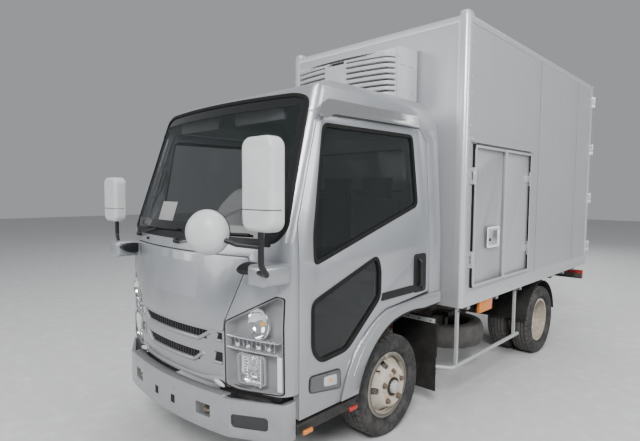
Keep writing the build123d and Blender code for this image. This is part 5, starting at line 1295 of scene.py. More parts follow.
class TRUCK_OT_grille(bpy.types.Operator):
    """Add the grille's mesh and lips, the valance, the bumper's strip and the lid's pale field"""

    bl_idname = "truck.grille"
    bl_label = "Grille and bumper"

    def execute(self, context):
        # Painted shade: a matte black plate behind the grille stands in for the shaded inside of the nose seen through
        # the slots.
        backing = front_plate("grille_backing", rectangle(-0.462, 0.462, 0.694, 0.890), 0, -0.002, 0.002, 0, 0.048)
        dress(backing, "cab", "Dark hollow")
        for row, slot in enumerate(SLOTS):
            top, bottom, wide, narrow = slot
            wires = []
            for index in range(3):
                z = bottom + (top - bottom) * (index + 0.5) / 3
                half = slot_half(z, *slot)
                wires.append(pipe("wire", front_line([(-half, z), (half, z)], -0.030, 24), 0.0022, 0.01, 2))
            dress(joined(f"grille_wires_{row}", wires), "cab", "Dark mesh")
            path = [(-wide, top - 0.004), (-narrow - 0.008, bottom + 0.004), (-narrow + 0.01, bottom - 0.004)]
            path += [(-y, z) for y, z in reversed(path)]
            dress(pipe(f"grille_lip_{row}", front_line(path, 0.001, 10), 0.0125, 0.01), "cab", "Grille paint")
        for row, (top, bottom, inner_top, inner_bottom, outer) in enumerate(SIDE_SLOTS):
            path = [(inner_top, top - 0.003), (inner_bottom, bottom - 0.002), (outer, bottom - 0.002)]
            lip = pipe(f"grille_side_lip_{row}", front_line(path, 0.0, 8), 0.0085, 0.01, 3)
            both_sides(lip, "cab", "Grille paint")
            # Painted shade: a flat matte black plate fills each side slot in place of the shade inside it.
            hollow = [(inner_top, top), (outer, top), (outer, bottom), (inner_bottom, bottom)]
            hollow = front_plate(f"grille_side_hollow_{row}", hollow, 0, -0.004, 0.0006, 0, 0.0, 0.03)
            both_sides(hollow, "cab", "Dark hollow")
        panel = sliced(context.scene.objects["grille_panel"], "Z", [edge for slot in SLOTS for edge in slot[:2]])
        refinished(
            panel, "Dark mesh",
            lambda at: any(slot[1] < at.z < slot[0] and abs(at.y) < slot_half(at.z, *slot) for slot in SLOTS),
        )
        valance = front_plate("valance", rectangle(-0.478, 0.478, 0.632, 0.573), 0.01, -0.010, 0.0, 0.001, 0.024)
        dress(valance, "cab", "Black moulding")
        skirt = [(0.478, 0.602), (0.800, 0.590), (0.800, 0.560), (0.478, 0.556)]
        both_sides(front_plate("lamp_skirt", skirt, 0, -0.010, 0.0, 0.001, 0.018), "cab", "Black moulding")
        for index, (wide, tall, middle, shoulder, ahead, finish) in enumerate(VALANCE_LAMPS):
            profile = [(0, middle), (0.7, shoulder), (1.0, 0.0), (1.0, -0.012), (0, -0.012)]
            lens = turned(f"valance_lamp_{index}", profile, (0, 0, 0), "X", 40)
            place = Matrix.Translation((nose_x(0.433, 0.620) - 0.002 + ahead, 0.433, 0.598))
            lean = Matrix.Rotation(math.radians(-8), 4, "X")
            lens.data.transform(place @ lean @ Matrix.Diagonal((1, wide, tall, 1)))
            both_sides(outward(lens), "cab", finish)
        outer = [(bowed(y, **BUMPER) - 0.006, y) for y in spread(-0.512, 0.512, 24)]
        inner = [(bowed(y, **BUMPER) - 0.054, y) for y in spread(0.478, -0.478, 24)]
        strip = plate("bumper_step_strip", [outer + inner], "Z", BUMPER_TOP - 0.004, BUMPER_TOP + 0.0025, 0.001)
        dress(strip, "chassis", "Step strip")
        field = front_plate("lid_pale_field", rectangle(-0.25, 0.25, 1.05, 1.255), 0, -0.001, 0.0, 0, -0.0006)
        dress(field, "front_lid", "Pale field")
        cowl = [(-0.735, 1.412), (0.735, 1.412), (0.742, 1.372), (-0.742, 1.372)]
        dress(front_plate("cowl_strip", cowl, 0.012, -0.006, 0.0, 0.001, -0.0035), "cab", "Black moulding")
        for side, label in SIDES:
            path = [(FRONT_X + x, side * y, 0.440) for x, y in TOW_HOOK]
            dress(pipe(f"tow_hook_{label}", path, 0.009, 0.02), "chassis", "Rusty steel")
            # Painted shade: a matte black block in each square hole of the bumper stands in for the shade inside the
            # hole.
            x, y = bowed(HOLE_Y, **BUMPER), side * HOLE_Y
            hole = block(f"bumper_hole_{label}", (x - 0.012, y - 0.021, 0.409), (x + 0.0007, y + 0.021, 0.459), 0.002)
            dress(hole, "chassis", "Dark hollow")
        return {"FINISHED"}


class TRUCK_OT_lamps(bpy.types.Operator):
    """Add the headlamps' insides, lenses and seams, and part the chassis lamps by colour"""

    bl_idname = "truck.lamps"
    bl_label = "Lamps"

    def execute(self, context):
        lens = rounded(copy_of("headlamps", "headlamp_lenses"), 0.003)
        dress(lens, "cab", "Clear lens")
        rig.replaces(lens, "headlamps")
        tub = front_plate("headlamp_tub", inset(LAMP, 0.004), 0.02, -0.004, 0.0, 0, 0.076, 0.03)
        both_sides(tub, "cab", "Lamp tub")
        outlines = [corners(inset(LAMP, by), 0.02) for by in (0.0022, 0.006)]
        both_sides(on_front(plate("headlamp_wall", outlines, "X", -0.074, -0.004), 0.0, 0.03), "cab", "Lamp tub")
        for index, z in enumerate(LAMP_SHELVES):
            path = front_line([(0.486, z + 0.002), (0.800, z - 0.004)], -0.014)
            both_sides(pipe(f"headlamp_shelf_{index}", path, 0.0075, 0.01), "cab", "Reflector")
            floor = [(0.488, z - 0.003), (0.806, z - 0.006), (0.806, z + 0.002), (0.488, z + 0.004)]
            floor = front_plate(f"headlamp_floor_{index}", floor, 0, -0.060, 0.0, 0, 0.014, 0.03)
            both_sides(floor, "cab", "Lamp tub")
        fins = []
        for index in range(LAMP_FINS):
            y = 0.505 + index * 0.0265
            x = nose_x(y, 0.843)
            fins.append(block("fin", (x - 0.046, y - 0.0012, 0.820), (x - 0.020, y + 0.0012, 0.868)))
        both_sides(joined("headlamp_fins", fins), "cab", "Reflector")
        beads = [turned("bead", BEAD, (nose_x(y, 0.83) - 0.014, y, 0.829), "X", 24) for y in LAMP_BEADS]
        both_sides(joined("headlamp_beads", beads), "cab", "White trim")
        for values in BOWLS:
            both_sides(lamp_bowl(*values), "cab", "Reflector")
        for name, y, z, back, profile, finish in BULBS:
            both_sides(turned(name, profile, (nose_x(y, z) - back, y, z), "X", 24), "cab", finish)
        ring = frame_ring("beam_bezel", BEZEL, 0.02, 0.004, 0.006, "X", -0.008, 0.0, 0.001)
        both_sides(on_front(ring, 0.012, 0.02), "cab", "Lamp tub")
        facets = []
        for index in range(9):
            low = 0.646 + index * 0.0155
            facets.append(on_front(halved(block("facet", (0, 0.566, low), (0.006, 0.704, low + 0.006), 0.002)), 0.050))
        both_sides(joined("beam_facets", facets), "cab", "Reflector")
        strip = rectangle(0.790, 0.812, 0.612, 0.800)
        strip = front_plate("headlamp_strip", strip, 0.004, -0.004, 0.0, 0.001, 0.010, 0.01)
        both_sides(strip, "cab", "White trim")
        seam = frame_ring("headlamp_seam", LAMP, 0.02, 0.004, 0.0015, "X", -0.012, -0.0008)
        both_sides(on_front(seam, 0.0, 0.03), "cab", "Black rubber")
        lamps = context.scene.objects["chassis_lamps_panel"]
        refinished(lamps, "Fog lens", lambda at: at.x - FRONT_X > 0.9)
        refinished(lamps, "Red lens", lambda at: at.x - FRONT_X < -3.9 and abs(at.y) < 0.852)
        return {"FINISHED"}


# Doors, mirrors and the cab's outside

VISOR = (
    (0.765, 2.070), (0.737, 2.123), (0.652, 2.180), (-0.285, 2.188), (-0.262, 2.105), (0.640, 2.092), (0.700, 2.060)
)
VISOR_BEND = 2.150
VISOR_FLARE = 0.42
CORNER_LAMP = ((0.843, 0.571), (0.838, 0.656), (0.594, 0.639), (0.588, 0.528))
DOOR_PLATES = (
    # piece, outline, corner radius, from and to off the surface, edge, finish
    (
        "handle_well", ((-0.178, 1.235), (-0.178, 0.964), (-0.337, 0.964), (-0.337, 1.235)),
        0.030, -0.002, 0.004, 0.002, "Black moulding",
    ),
    # Painted shade: the hollow's matte black plate stands in for the shade in the handle's recess.
    (
        "handle_hollow", ((-0.205, 1.205), (-0.205, 1.010), (-0.315, 1.010), (-0.315, 1.205)),
        0.022, 0.003, 0.0052, 0.0005, "Dark hollow",
    ),
    (
        "door_trim", ((0.186, 1.022), (-0.171, 1.024), (-0.171, 0.973), (0.200, 0.973)),
        0.010, 0.0, 0.010, 0.003, "Black moulding",
    ),
    ("corner_lamp_back", CORNER_LAMP, 0.022, -0.002, 0.0025, 0.001, "Satin black"),
    (
        "corner_lamp_bowl", ((0.730, 0.572), (0.730, 0.628), (0.622, 0.618), (0.618, 0.556)),
        0.016, 0.002, 0.0045, 0.001, "Reflector",
    ),
    (
        "corner_lamp_bulb", ((0.690, 0.584), (0.690, 0.612), (0.662, 0.610), (0.662, 0.582)),
        0.012, 0.004, 0.0065, 0.001, "Lamp bulb",
    ),
    ("corner_lamp", CORNER_LAMP, 0.022, 0.0028, 0.013, 0.004, "Clear lens"),
)
ARCH_EDGE = (
    (-0.519, 0.848), (-0.347, 0.837), (-0.119, 0.850), (0.062, 0.825), (0.204, 0.753), (0.305, 0.665), (0.425, 0.440)
)
ARCH_CREASE = ((-0.500, 0.905), (-0.116, 0.922), (0.120, 0.880), (0.285, 0.805), (0.390, 0.705), (0.480, 0.560))
CREASE_Y = 0.861


class TRUCK_OT_doors(bpy.types.Operator):
    """Add the visors, handles, trim strips, corner lamps and the arches' edges"""

    bl_idname = "truck.doors"
    bl_label = "Door fittings"

    def execute(self, context):
        visor = plate("window_visor", [corners(at_axle(VISOR), 0.02)], "Y", 0.003, 0.007, 0.001)
        for vertex in visor.data.vertices:
            vertex.co.y += max(0.0, VISOR_BEND - vertex.co.z) * VISOR_FLARE
        both_sides(hug_side(sliced(visor, "Z", (2.12, VISOR_BEND))), DOORS, "Visor steel")
        for name, outline, *measures, finish in DOOR_PLATES:
            both_sides(on_side(name, outline, *measures), DOORS, finish)
        rim = ring_on_side("corner_lamp_rim", CORNER_LAMP, 0.022, 0.006, 0.001, -0.001, 0.006)
        both_sides(rim, DOORS, "Satin black")
        x, y = FRONT_X - 0.232, side_y(1.1)
        path = [(x, y + 0.002, 1.196), (x, y + 0.026, 1.190), (x, y + 0.028, 1.026), (x, y + 0.002, 1.020)]
        grip = pipe("grip", path, 0.013, 0.03, 5)
        lock = rod("lock", (x - 0.056, y + 0.002, 0.990), (x - 0.056, y + 0.009, 0.990), 0.011, 24, 0.001)
        both_sides(joined("handle_grip", [grip, lock]), DOORS, "Satin black")
        path = [(FRONT_X + x, side_y(z) + 0.004, z) for x, z in ARCH_EDGE]
        both_sides(pipe("arch_edge", path, 0.0085, 0.09), "cab", "Black rubber")
        path = [(FRONT_X + x, CREASE_Y, z) for x, z in ARCH_CREASE]
        both_sides(pipe("arch_crease", path, 0.0035, 0.09, 3), "cab", "Arch paint")
        for index, (x, finish) in enumerate(((FRONT_X + 0.880, "Amber lens"), (FRONT_X + 0.500, "Red lens"))):
            marker = block(f"step_marker_{index}", (x - 0.034, 0.868, 0.368), (x + 0.034, 0.8815, 0.392), 0.003)
            both_sides(marker, "cab", finish)
        return {"FINISHED"}


UNDER_CENTRE = Vector((FRONT_X + 1.412, 0.76, 1.475))
UNDER_REACH = 0.125
UNDER_TURN = 33
UNDER_MIRROR = (
    # piece, turned profile, finish
    (
        "under_mirror_dome",
        (
            (0, 0.080), (0.030, 0.078), (0.058, 0.070), (0.082, 0.055), (0.098, 0.034), (0.105, 0.012), (0.105, 0.001),
            (0, 0.001),
        ),
        "Mirror moulding",
    ),
    (
        "under_mirror_glass", ((0, -0.0065), (0.05, -0.0055), (0.096, -0.0015), (0.098, 0.002), (0, 0.002)),
        "Mirror glass",
    ),
    (
        "under_mirror_rim",
        ((0.0985, -0.001), (0.1055, -0.001), (0.1062, 0.004), (0.1055, 0.010), (0.0985, 0.010)),
        "Satin black",
    ),
)
MIRRORS = (
    # side, its name, x from the axle, height, tall
    (1, "left", 1.290, 1.692, 0.415),
    (-1, "right", 1.070, 1.597, 0.330),
)


def in_housing(at):
    """Whether a place is on a main mirror's housing."""
    return any(
        side * at.y > 0.890 and abs(at.x - FRONT_X - place) < 0.050 and abs(at.z - height) < tall / 2 + 0.004
        for side, _, place, height, tall in MIRRORS
    )


def in_foot(at):
    """Whether a place is on the foot of a mirror's arms."""
    return abs(at.y) < 0.862 and abs(at.x - FRONT_X - 1.100) < 0.095 and abs(at.z - 1.262) < 0.046


class TRUCK_OT_mirrors(bpy.types.Operator):
    """Colour the arms and feet of the mirrors and add their glass and seams"""

    bl_idname = "truck.mirrors"
    bl_label = "Mirrors"

    def execute(self, context):
        panel = context.scene.objects["mirrors_panel"]
        chosen(panel, lambda at: at.x > UNDER_CENTRE.x - 0.001 and (at - UNDER_CENTRE).length < UNDER_REACH)
        bpy.ops.mesh.delete(type="FACE")
        bpy.ops.object.mode_set(mode="OBJECT")
        refinished(panel, "Satin black", lambda at: not in_housing(at))
        refinished(panel, "Black moulding", in_foot)
        fairing = block("mirror_fairing", (FRONT_X + 0.990, 0.735, 1.190), (FRONT_X + 1.180, 0.866, 1.300), 0.022, 4)
        both_sides(fairing, "cab", "Cab paint")
        for side, label, place, height, tall in MIRRORS:
            x, y = FRONT_X + place - 0.046, side * 1.001
            low, high = height - tall / 2, height + tall / 2
            for name, half, bottom, top, radius in (
                ("mirror_glass", 0.082, low + 0.105, high - 0.024, 0.035),
                ("mirror_wide_glass", 0.078, low + 0.020, low + 0.095, 0.020),
            ):
                outline = corners(rectangle(y - half, y + half, bottom, top), radius)
                glass = plate(f"{name}_{label}", [outline], "X", x - 0.0022, x + 0.004, 0.0006)
                dress(glass, "cab", "Mirror glass")
            z, front = low + 0.098, x + 0.0925
            path = [(x + 0.030, 0.1045), (front - 0.012, 0.1035), (front + 0.0002, 0.088), (front + 0.0004, 0)]
            path += [(forward, -across) for forward, across in reversed(path[:3])]
            path = [(forward, y + across, z) for forward, across in path]
            dress(pipe(f"mirror_seam_{label}", path, 0.0016, 0.02, 2), "cab", "Dark hollow")
        # the under-view mirror looks back at the driver's seat, its domed back out to the left
        for name, profile, finish in UNDER_MIRROR:
            piece = turned(name, profile, UNDER_CENTRE, "X", 64)
            piece.data.transform(about(UNDER_CENTRE, UNDER_TURN, "Z"))
            dress(piece, "cab", finish)
        return {"FINISHED"}


# The cabin

CUSHION_VOXEL = 0.010
CUSHION_LIFT = 0.010
CUSHION_PRESSURE = 4.0
CUSHION_FRAMES = 20
HOOD = ((0.150, -0.06), (0.150, 0.02), (0.135, 0.03), (0.120, 0.02), (0.120, -0.06))


def plumped(piece):
    """A padded cushion: remeshed, blown up by cloth pressure, its movement held to a limit."""
    modify(piece, "REMESH", mode="VOXEL", voxel_size=CUSHION_VOXEL)
    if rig.quick():
        return smooth(piece, 60)
    start = [vertex.co.copy() for vertex in piece.data.vertices]
    pick(piece)
    bpy.ops.object.modifier_add(type="CLOTH")
    cloth = piece.modifiers[-1]
    cloth.settings.use_pressure = True
    cloth.settings.uniform_pressure_force = CUSHION_PRESSURE
    cloth.settings.effector_weights.gravity = 0.0
    scene = bpy.context.scene
    for frame_number in range(1, CUSHION_FRAMES + 1):
        scene.frame_set(frame_number)
    bpy.ops.object.modifier_apply(modifier=cloth.name)
    scene.frame_set(1)
    for vertex, place in zip(piece.data.vertices, start):
        shift = vertex.co - place
        if shift.length > CUSHION_LIFT:
            vertex.co = place + shift.normalized() * CUSHION_LIFT
    modify(piece, "SMOOTH", factor=0.5, iterations=4)
    return smooth(piece, 60)


class TRUCK_OT_cabin(bpy.types.Operator):
    """Add the padded seats, the dashboard's instruments and the grab handle"""

    bl_idname = "truck.cabin"
    bl_label = "Cabin"

    def execute(self, context):
        pick(copy_of("seats", "seat_padding"))
        bpy.ops.mesh.separate(type="LOOSE")
        seats = joined("seat_padding", [plumped(part) for part in list(context.selected_objects)])
        dress(seats, "cab", "Woven cloth")
        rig.replaces(seats, "seats")
        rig.padded(seats, fill=0.6)
        sheet = rectangle(-0.505, -0.265, 1.425, 1.590)
        dress(front_plate("window_sheet", sheet, 0, -0.0006, 0.0, 0, 0.060), "cab", "Blank paper")
        low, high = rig.box("dashboard")
        for index, y in enumerate((0.56, 0.22, -0.10, -0.56)):
            start, end = (low.x - 0.004, y - 0.055, high.z - 0.105), (low.x + 0.010, y + 0.055, high.z - 0.045)
            dress(block(f"dash_vent_{index}", start, end, 0.006), "cab", "Cabin dark")
        hood = turned("instrument_hood", HOOD, (low.x + 0.05, -0.36, high.z - 0.045), "X", 48)
        dress(hood, "cab", "Cabin dark")
        path = [(nose_x(-0.70, z) - 0.075, -0.700, z) for z in (1.62, 1.66, 1.80, 1.84)]
        path[0] = (path[0][0] + 0.025, -0.715, 1.600)
        path[-1] = (path[-1][0] + 0.025, -0.715, 1.860)
        both_sides(pipe("grab_handle", path, 0.012, 0.03), "cab", "Cabin dark")
        visor = block("sun_visor", (FRONT_X + 0.735, 0.09, 2.075), (FRONT_X + 0.765, 0.56, 2.185), 0.012)
        both_sides(visor, "cab", "Cabin moulding")
        return {"FINISHED"}


# The box

RIVET_RADIUS = 0.0045
BOX_DOOR = ((-0.857, 0.920), (-0.857, 2.030), (-2.020, 2.030), (-2.020, 0.920))
LEAVES = (
    # leaf, low and high x from the axle
    ("side_door_front", -1.4385, -0.859),
    ("side_door_rear", -2.018, -1.4415),
)
SIDE_SEAMS = (-2.190, -3.380)
LATCH_X, LATCH_Z = FRONT_X - 1.210, 1.298


def row_of(piece, count, step):
    """A row of copies at an even step."""
    return modify(
        piece, "ARRAY", count=count, use_relative_offset=False, use_constant_offset=True, constant_offset_displace=step
    )


def rivets(name, place, out, count, step, finish):
    """A row of small domed rivet heads that stand out along a direction."""
    place, out = Vector(place), Vector(out)
    head = rod(name, place - out * 0.001, place + out * 0.0022, RIVET_RADIUS, 10, tip=RIVET_RADIUS * 0.55)
    dress(row_of(head, count, step), "chassis", finish)


class TRUCK_OT_box(bpy.types.Operator):
    """Add the insulated box's seams, rivets, door frames, seals and latch"""

    bl_idname = "truck.box"
    bl_label = "Insulated box"

    def execute(self, context):
        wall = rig.box("box_side_left")[1].y
        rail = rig.box("box_frame")[1].y
        for index, x in enumerate(SIDE_SEAMS):
            x += FRONT_X
            seam = block(f"side_seam_{index}", (x - 0.0016, wall - 0.001, 0.880), (x + 0.0016, wall + 0.0006, 2.920))
            both_sides(seam, "chassis", "Seam grey")
        # its upright sides lie inside the posts: a leaf swings through the gap beside them
        seal = [(x + (0.004 if x > -1 else -0.004), z) for x, z in BOX_DOOR]
        ring = frame_ring("side_door_seal", at_axle(seal), 0.004, 0.0005, 0.0015, "Y", wall - 0.024, wall - 0.005)
        dress(ring, "chassis", "Black rubber")
        for leaf, low, high in LEAVES:
            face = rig.box(leaf)[1].y
            outline = at_axle(((low, 0.923), (low, 2.027), (high, 2.027), (high, 0.923)))
            edge = frame_ring(leaf + "_edge", outline, 0.006, 0.0, 0.020, "Y", face - 0.001, face + 0.0020, 0.0006)
            dress(edge, leaf, "Box post")
        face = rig.box("side_door_front")[1].y
        x, z = LATCH_X, LATCH_Z
        outline = rectangle(x - 0.116, x + 0.116, z - 0.086, z + 0.086)
        ring = frame_ring("latch_frame", outline, 0.016, 0.0, 0.018, "Y", face, face + 0.007, 0.002)
        dress(ring, "side_door_front", "White trim")
        well = block("latch_well", (x - 0.100, face - 0.0006, z - 0.070), (x + 0.100, face + 0.0006, z + 0.070))
        dress(well, "side_door_front", "Box post")
        start, end = (x - 0.060, face + 0.0008, z - 0.054), (x + 0.020, face + 0.010, z + 0.054)
        dress(block("latch_paddle", start, end, 0.004), "side_door_front", "Bright steel")
        lock = rod("latch_lock", (x + 0.062, face, z - 0.020), (x + 0.062, face + 0.008, z - 0.020), 0.013, 24, 0.001)
        dress(lock, "side_door_front", "Satin black")
        for side, label in SIDES:
            along, up, out = (0.121, 0, 0), (0, 0, 0.121), (0, side, 0)
            for level, z in (("low", 0.840), ("high", 2.945)):
                rivets(f"rivets_{level}_{label}", (BOX_REAR + 0.09, side * rail, z), out, 27, along, "Box rail")
            for place, x in (("front", BOX_FRONT - 0.030), ("rear", BOX_REAR + 0.030)):
                rivets(f"post_rivets_{place}_{label}", (x, side * rail, 0.95), out, 17, up, "Box post")
            rivets(f"front_rivets_{label}", (BOX_FRONT, side * 0.905, 0.95), (1, 0, 0), 17, up, "Box post")
        rivets("front_top_rivets", (BOX_FRONT, -0.84, 2.945), (1, 0, 0), 15, (0, 0.12, 0), "Box post")
        return {"FINISHED"}


# The cooling unit

UNIT_HALF = 0.500
UNIT_BOW = 0.062
UNIT_CORNER = 0.082
UNIT_LOW = 2.385
UNIT_NOSE = BOX_FRONT + 0.430
UNIT_BACK = BOX_FRONT + 0.040
UNIT_SEAMS = (
    # rear and front end, lower and upper edge
    (0.03, 0.10, 0.250, 0.253),
    (0.14, 0.21, 0.250, 0.253),
    (0.246, 0.2485, 0.004, 0.345),
)
UNIT_SCREWS = ((0.035, 0.06), (0.215, 0.06), (0.035, 0.31), (0.215, 0.31))
UNIT_DRAIN = ((0.060, 0.430, 2.386), (0.060, 0.430, 2.350), (0.014, 0.470, 2.300), (0.014, 0.470, 1.150))


def unit_outline(inset_by, rear):
    """Plan outline of the cooling unit's housing, moved inwards, from its rear left round to its rear right."""
    front = [(bowed(y, UNIT_NOSE, UNIT_HALF, UNIT_BOW), y) for y in spread(UNIT_HALF, -UNIT_HALF, 14)]
    outline = inset([(rear, UNIT_HALF), *front, (rear, -UNIT_HALF)], inset_by)
    return corners(outline, UNIT_CORNER - inset_by)


class TRUCK_OT_cooling(bpy.types.Operator):
    """Add the cooling unit's dark inside, seams, screws, flange gasket and drain"""

    bl_idname = "truck.cooling"
    bl_label = "Cooling unit"

    def execute(self, context):
        core = plate("unit_core", [unit_outline(0.0445, UNIT_BACK + 0.262)], "Z", UNIT_LOW + 0.022, UNIT_LOW + 0.342)
        dress(core, "chassis", "Dark mesh")
        for side, label in SIDES:
            y = side * UNIT_HALF
            corner = Vector((UNIT_BACK, y, UNIT_LOW))
            seams = [
                block("seam", corner + Vector((low, -0.0007, bottom)), corner + Vector((high, 0.0007, top)))
                for low, high, bottom, top in UNIT_SEAMS
            ]
            dress(joined(f"unit_seams_{label}", seams), "chassis", "Seam grey")
            heads = [Vector((UNIT_BACK + x, y, UNIT_LOW + z)) for x, z in UNIT_SCREWS]
            screws = [rod("screw", at, at + Vector((0, side * 0.003, 0)), 0.008, 20, 0.001) for at in heads]
            dress(joined(f"unit_screws_{label}", screws), "chassis", "Guard tube")
        gasket = block("unit_gasket", (BOX_FRONT + 0.0005, -0.486, 2.372), (BOX_FRONT + 0.012, 0.486, 2.785), 0.003)
        dress(gasket, "chassis", "Black rubber")
        path = [(BOX_FRONT + x, y, z) for x, y, z in UNIT_DRAIN]
        dress(pipe("unit_drain", path, 0.009, 0.03, 3), "chassis", "Black rubber")
        return {"FINISHED"}


# Chassis and rear

RAIL_Y = 0.352
BRAKE_LINES = (0.560, 0.610)
CHAIN = ((-1.365, 0.450, 0.498), (-1.365, 0.450, 0.545), (-1.365, 0.360, 0.560))


class TRUCK_OT_chassis(bpy.types.Operator):
    """Add the battery's lid, cable and bracket, the brake lines, the bolts, the flaps' straps and the chain"""

    bl_idname = "truck.chassis"
    bl_label = "Chassis"

    def execute(self, context):
        low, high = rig.box("battery_box")
        start, end = low + Vector((-0.006, -0.004, 0)), high + Vector((0.006, 0.006, 0.008))
        lid = block("battery_lid", (start.x, start.y, high.z - 0.060), end, 0.008)
        dress(lid, "chassis", "Satin black")
        x, y, z = high
        knobs = [
            rod("knob", (at, y - 0.001, z - 0.030), (at, y + 0.024, z - 0.030), 0.014, 20, 0.003)
            for at in (low.x + 0.035, x - 0.035)
        ]
        dress(joined("battery_knobs", knobs), "chassis", "Black moulding")
        ribs = [
            block("rib", (at, y - 0.001, low.z + 0.02), (at + 0.006, y + 0.004, z - 0.080), 0.001)
            for at in (low.x + 0.02 + 0.030 * index for index in range(6))
        ]
        dress(joined("battery_ribs", ribs), "chassis", "Black moulding")
        path = [(x - 0.05, y - 0.08, z + 0.004), (x + 0.05, y - 0.05, z + 0.060), (x + 0.11, y - 0.16, z + 0.040)]
        cable = pipe("battery_cable", [*path, (x + 0.15, RAIL_Y, z - 0.02)], 0.011, 0.06)
        dress(cable, "chassis", "Red cable")
        path = [(x + 0.020, y - 0.02, low.z + 0.02), (x + 0.020, y - 0.02, z + 0.030), (x + 0.020, RAIL_Y, z + 0.030)]
        dress(pipe("battery_bracket", path, 0.012), "chassis", "Guard tube")
        for side, label in SIDES:
            y, flap = side * 0.3545, side * 0.62
            for index, z in enumerate(BRAKE_LINES):
                path = [(FRONT_X - 3.85, y, z), (FRONT_X + 0.85, y, z)]
                dress(pipe(f"brake_line_{label}_{index}", path, 0.0045, sides=2), "chassis", "Rusty steel")
            start, end = (FRONT_X - 0.570, flap - 0.19, 0.668), (FRONT_X - 0.553, flap + 0.19, 0.704)
            dress(block(f"flap_strap_{label}", start, end, 0.002), "chassis", "Guard tube")
            for name, start, end, radius, count, step, finish in (
                (
                    "rail_bolts", (BOX_REAR + 0.20, side * 0.349, 0.630), (BOX_REAR + 0.20, side * 0.359, 0.630),
                    0.010, 17, (0.22, 0, 0), "Castings",
                ),
                (
                    "flap_bolts", (FRONT_X - 0.572, flap - 0.15, 0.686), (FRONT_X - 0.549, flap - 0.15, 0.686),
                    0.008, 4, (0, 0.10, 0), "Rusty steel",
                ),
                (
                    "guard_bolts", (FRONT_X - 0.760, side * 0.880, 0.740), (FRONT_X - 0.760, side * 0.903, 0.740),
                    0.009, 2, (-1.140, 0, 0), "Castings",
                ),
            ):
                bolt = rod(f"{name}_{label}", start, end, radius, 6, 0.001)
                dress(row_of(bolt, count, step), "chassis", finish)
        path = [(FRONT_X + x, y, z) for x, y, z in CHAIN]
        dress(pipe("spare_chain", path, 0.007, 0.03, 3), "chassis", "Rusty steel")
        return {"FINISHED"}


PLATE_Z = 0.610
LENS_BARS = (0.735, 0.818)
TAIL_AMBER_Y = 0.777


class TRUCK_OT_rear(bpy.types.Operator):
    """Add the rear doors' seals and handles, the blank number plate and the lamps' bars and lenses"""

    bl_idname = "truck.rear"
    bl_label = "Rear"

    def execute(self, context):
        low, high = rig.box("rear_door_left")
        back = BOX_REAR - 0.002
        for side, label in SIDES:
            leaf = "rear_door_" + label
            outline = [(side * y, z) for y, z in rectangle(0.012, 0.872, low.z + 0.01, high.z - 0.01)]
            seal = frame_ring(f"rear_seal_{label}", outline, 0.012, 0.0, 0.016, "X", back - 0.001, back + 0.003, 0.0008)
            dress(seal, leaf, "Black rubber")
            x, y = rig.box(leaf)[0].x, side * 0.330
            path = [(x + 0.010, y, 1.420), (x - 0.006, y, 1.420)]
            path += [(x - 0.006, y - side * 0.210, 1.412), (x + 0.020, y - side * 0.235, 1.412)]
            grip = pipe("grip", path, 0.010, 0.02)
            y -= side * 0.245
            hasp = block("hasp", (x + 0.004, y - 0.030, 1.385), (x + 0.026, y + 0.030, 1.440), 0.003)
            dress(joined(f"lock_handle_{label}", [grip, hasp]), leaf, "Bright steel")
        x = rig.box("chassis_lamps")[0].x
        outline = corners(rectangle(-0.165, 0.165, PLATE_Z - 0.083, PLATE_Z + 0.083), 0.010)
        dress(plate("rear_number_plate", [outline], "X", x + 0.004, x + 0.007, 0.001), "chassis", "Blank paper")
        start, end = (x + 0.007, -0.175, PLATE_Z - 0.030), (x + 0.040, 0.175, PLATE_Z + 0.030)
        holder = block("rear_plate_holder", start, end, 0.003)
        dress(holder, "chassis", "Chassis black")
        for side, label in SIDES:
            bars = [
                block("bar", (x - 0.0015, side * y - 0.0022, 0.574), (x + 0.004, side * y + 0.0022, 0.682), 0.001)
                for y in LENS_BARS
            ]
            dress(joined(f"lens_bars_{label}", bars), "chassis", "Satin black")
            y = side * TAIL_AMBER_Y
            pane = block(f"tail_amber_{label}", (x - 0.0012, y - 0.039, 0.578), (x + 0.002, y + 0.039, 0.678), 0.001)
            dress(pane, "chassis", "Amber lens")
        return {"FINISHED"}


# The studio

SKY_COLOUR, SKY_STRENGTH = (0.80, 0.83, 0.87, 1), 0.42
CAMERA_PLACE = (3.949, 2.621, 1.661)
CAMERA_YAW, CAMERA_PITCH, CAMERA_ROLL = math.radians(223.42), math.radians(-4.298), math.radians(0.296)
CAMERA_SHIFT = 0.0115
LIGHTS = (
    # name, place, size, power, aim
    ("key_light", (8.0, 5.5, 7.0), 3.5, 1150, (0.8, 0, 1.2)),
    ("front_light", (8.5, -4.5, 3.5), 4.0, 170, (1.8, 0, 1.2)),
    ("side_light", (-1.5, 10.0, 5.0), 5.0, 620, (-0.8, 0, 1.5)),
    ("top_light", (0.0, 0.0, 10.0), 7.0, 420, (0, 0, 0)),
    ("back_light", (-9.0, -5.0, 5.5), 5.0, 420, (-1, 0, 1.4)),
)


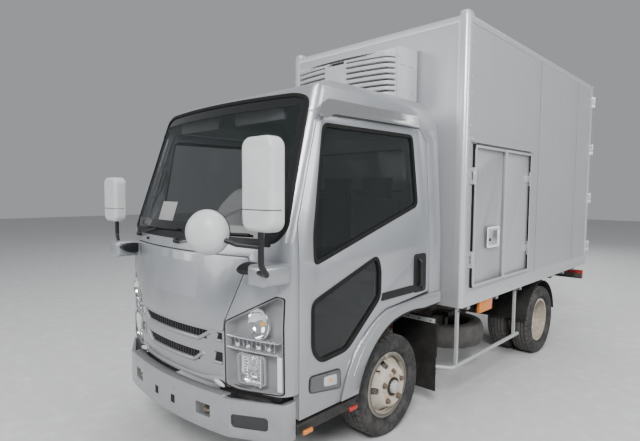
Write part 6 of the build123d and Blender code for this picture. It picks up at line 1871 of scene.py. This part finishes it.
class TRUCK_OT_studio(bpy.types.Operator):
    """Add the pale floor, the soft lights and the camera"""

    bl_idname = "truck.studio"
    bl_label = "Studio"

    def execute(self, context):
        clear()
        bpy.ops.mesh.primitive_plane_add(size=60, location=(0, 0, 0))
        floor = settle(named("studio_floor"))
        paint(floor, "Studio floor")
        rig.stage(floor)
        for name, place, size, power, aim in LIGHTS:
            clear()
            bpy.ops.object.light_add(type="AREA", location=place)
            light = named(name)
            light.data.shape = "DISK"
            light.data.size = size
            light.data.energy = power
            light.rotation_euler = (Vector(aim) - Vector(place)).to_track_quat("-Z", "Y").to_euler()
        world = context.scene.world or bpy.data.worlds.new("Studio")
        context.scene.world = world
        world.use_nodes = True
        background = world.node_tree.nodes["Background"]
        background.inputs["Color"].default_value = SKY_COLOUR
        background.inputs["Strength"].default_value = SKY_STRENGTH
        clear()
        flat = math.cos(CAMERA_PITCH)
        aim = Vector((flat * math.cos(CAMERA_YAW), flat * math.sin(CAMERA_YAW), math.sin(CAMERA_PITCH)))
        bpy.ops.object.camera_add(location=CAMERA_PLACE)
        camera = named("photo_camera")
        turn = aim.to_track_quat("-Z", "Y").to_matrix() @ Matrix.Rotation(CAMERA_ROLL, 3, "Z")
        camera.rotation_euler = turn.to_euler()
        camera.data.sensor_width = 36
        camera.data.lens = context.scene.truck_dressing.lens_length
        camera.data.shift_y = CAMERA_SHIFT
        camera.data.clip_end = 200
        context.scene.camera = camera
        return {"FINISHED"}


# The panel and the run

STEPS = [
    item for item in list(globals().values())
    if isinstance(item, type) and issubclass(item, bpy.types.Operator) and item is not bpy.types.Operator
]


class TRUCK_PT_dressing(bpy.types.Panel):
    """Lists the settings and the steps of the dressing"""

    bl_idname = "TRUCK_PT_dressing"
    bl_label = "Truck dressing"
    bl_space_type = "VIEW_3D"
    bl_region_type = "UI"
    bl_category = "Truck"

    def draw(self, context):
        settings = context.scene.truck_dressing
        column = self.layout.column()
        for name in settings.__annotations__:
            column.prop(settings, name)
        for step in STEPS:
            column.operator(step.bl_idname)


CLASSES = (TruckSettings, *STEPS, TRUCK_PT_dressing)


def register():
    """Register the settings, the steps and the panel."""
    for item in CLASSES:
        bpy.utils.register_class(item)
    bpy.types.Scene.truck_dressing = bpy.props.PointerProperty(type=TruckSettings)


def unregister():
    """Take out what register put in."""
    del bpy.types.Scene.truck_dressing
    for item in reversed(CLASSES):
        bpy.utils.unregister_class(item)


def main():
    register()
    for step in STEPS:
        group, name = step.bl_idname.split(".")
        getattr(getattr(bpy.ops, group), name)()
    sizes = {
        "cad": [list(corner) for corner in cad_box],
        "visual": [list(corner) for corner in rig.bounds()],
    }
    with open("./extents.json", "w") as file:
        json.dump(sizes, file)


if __name__ == "__main__":
    main()
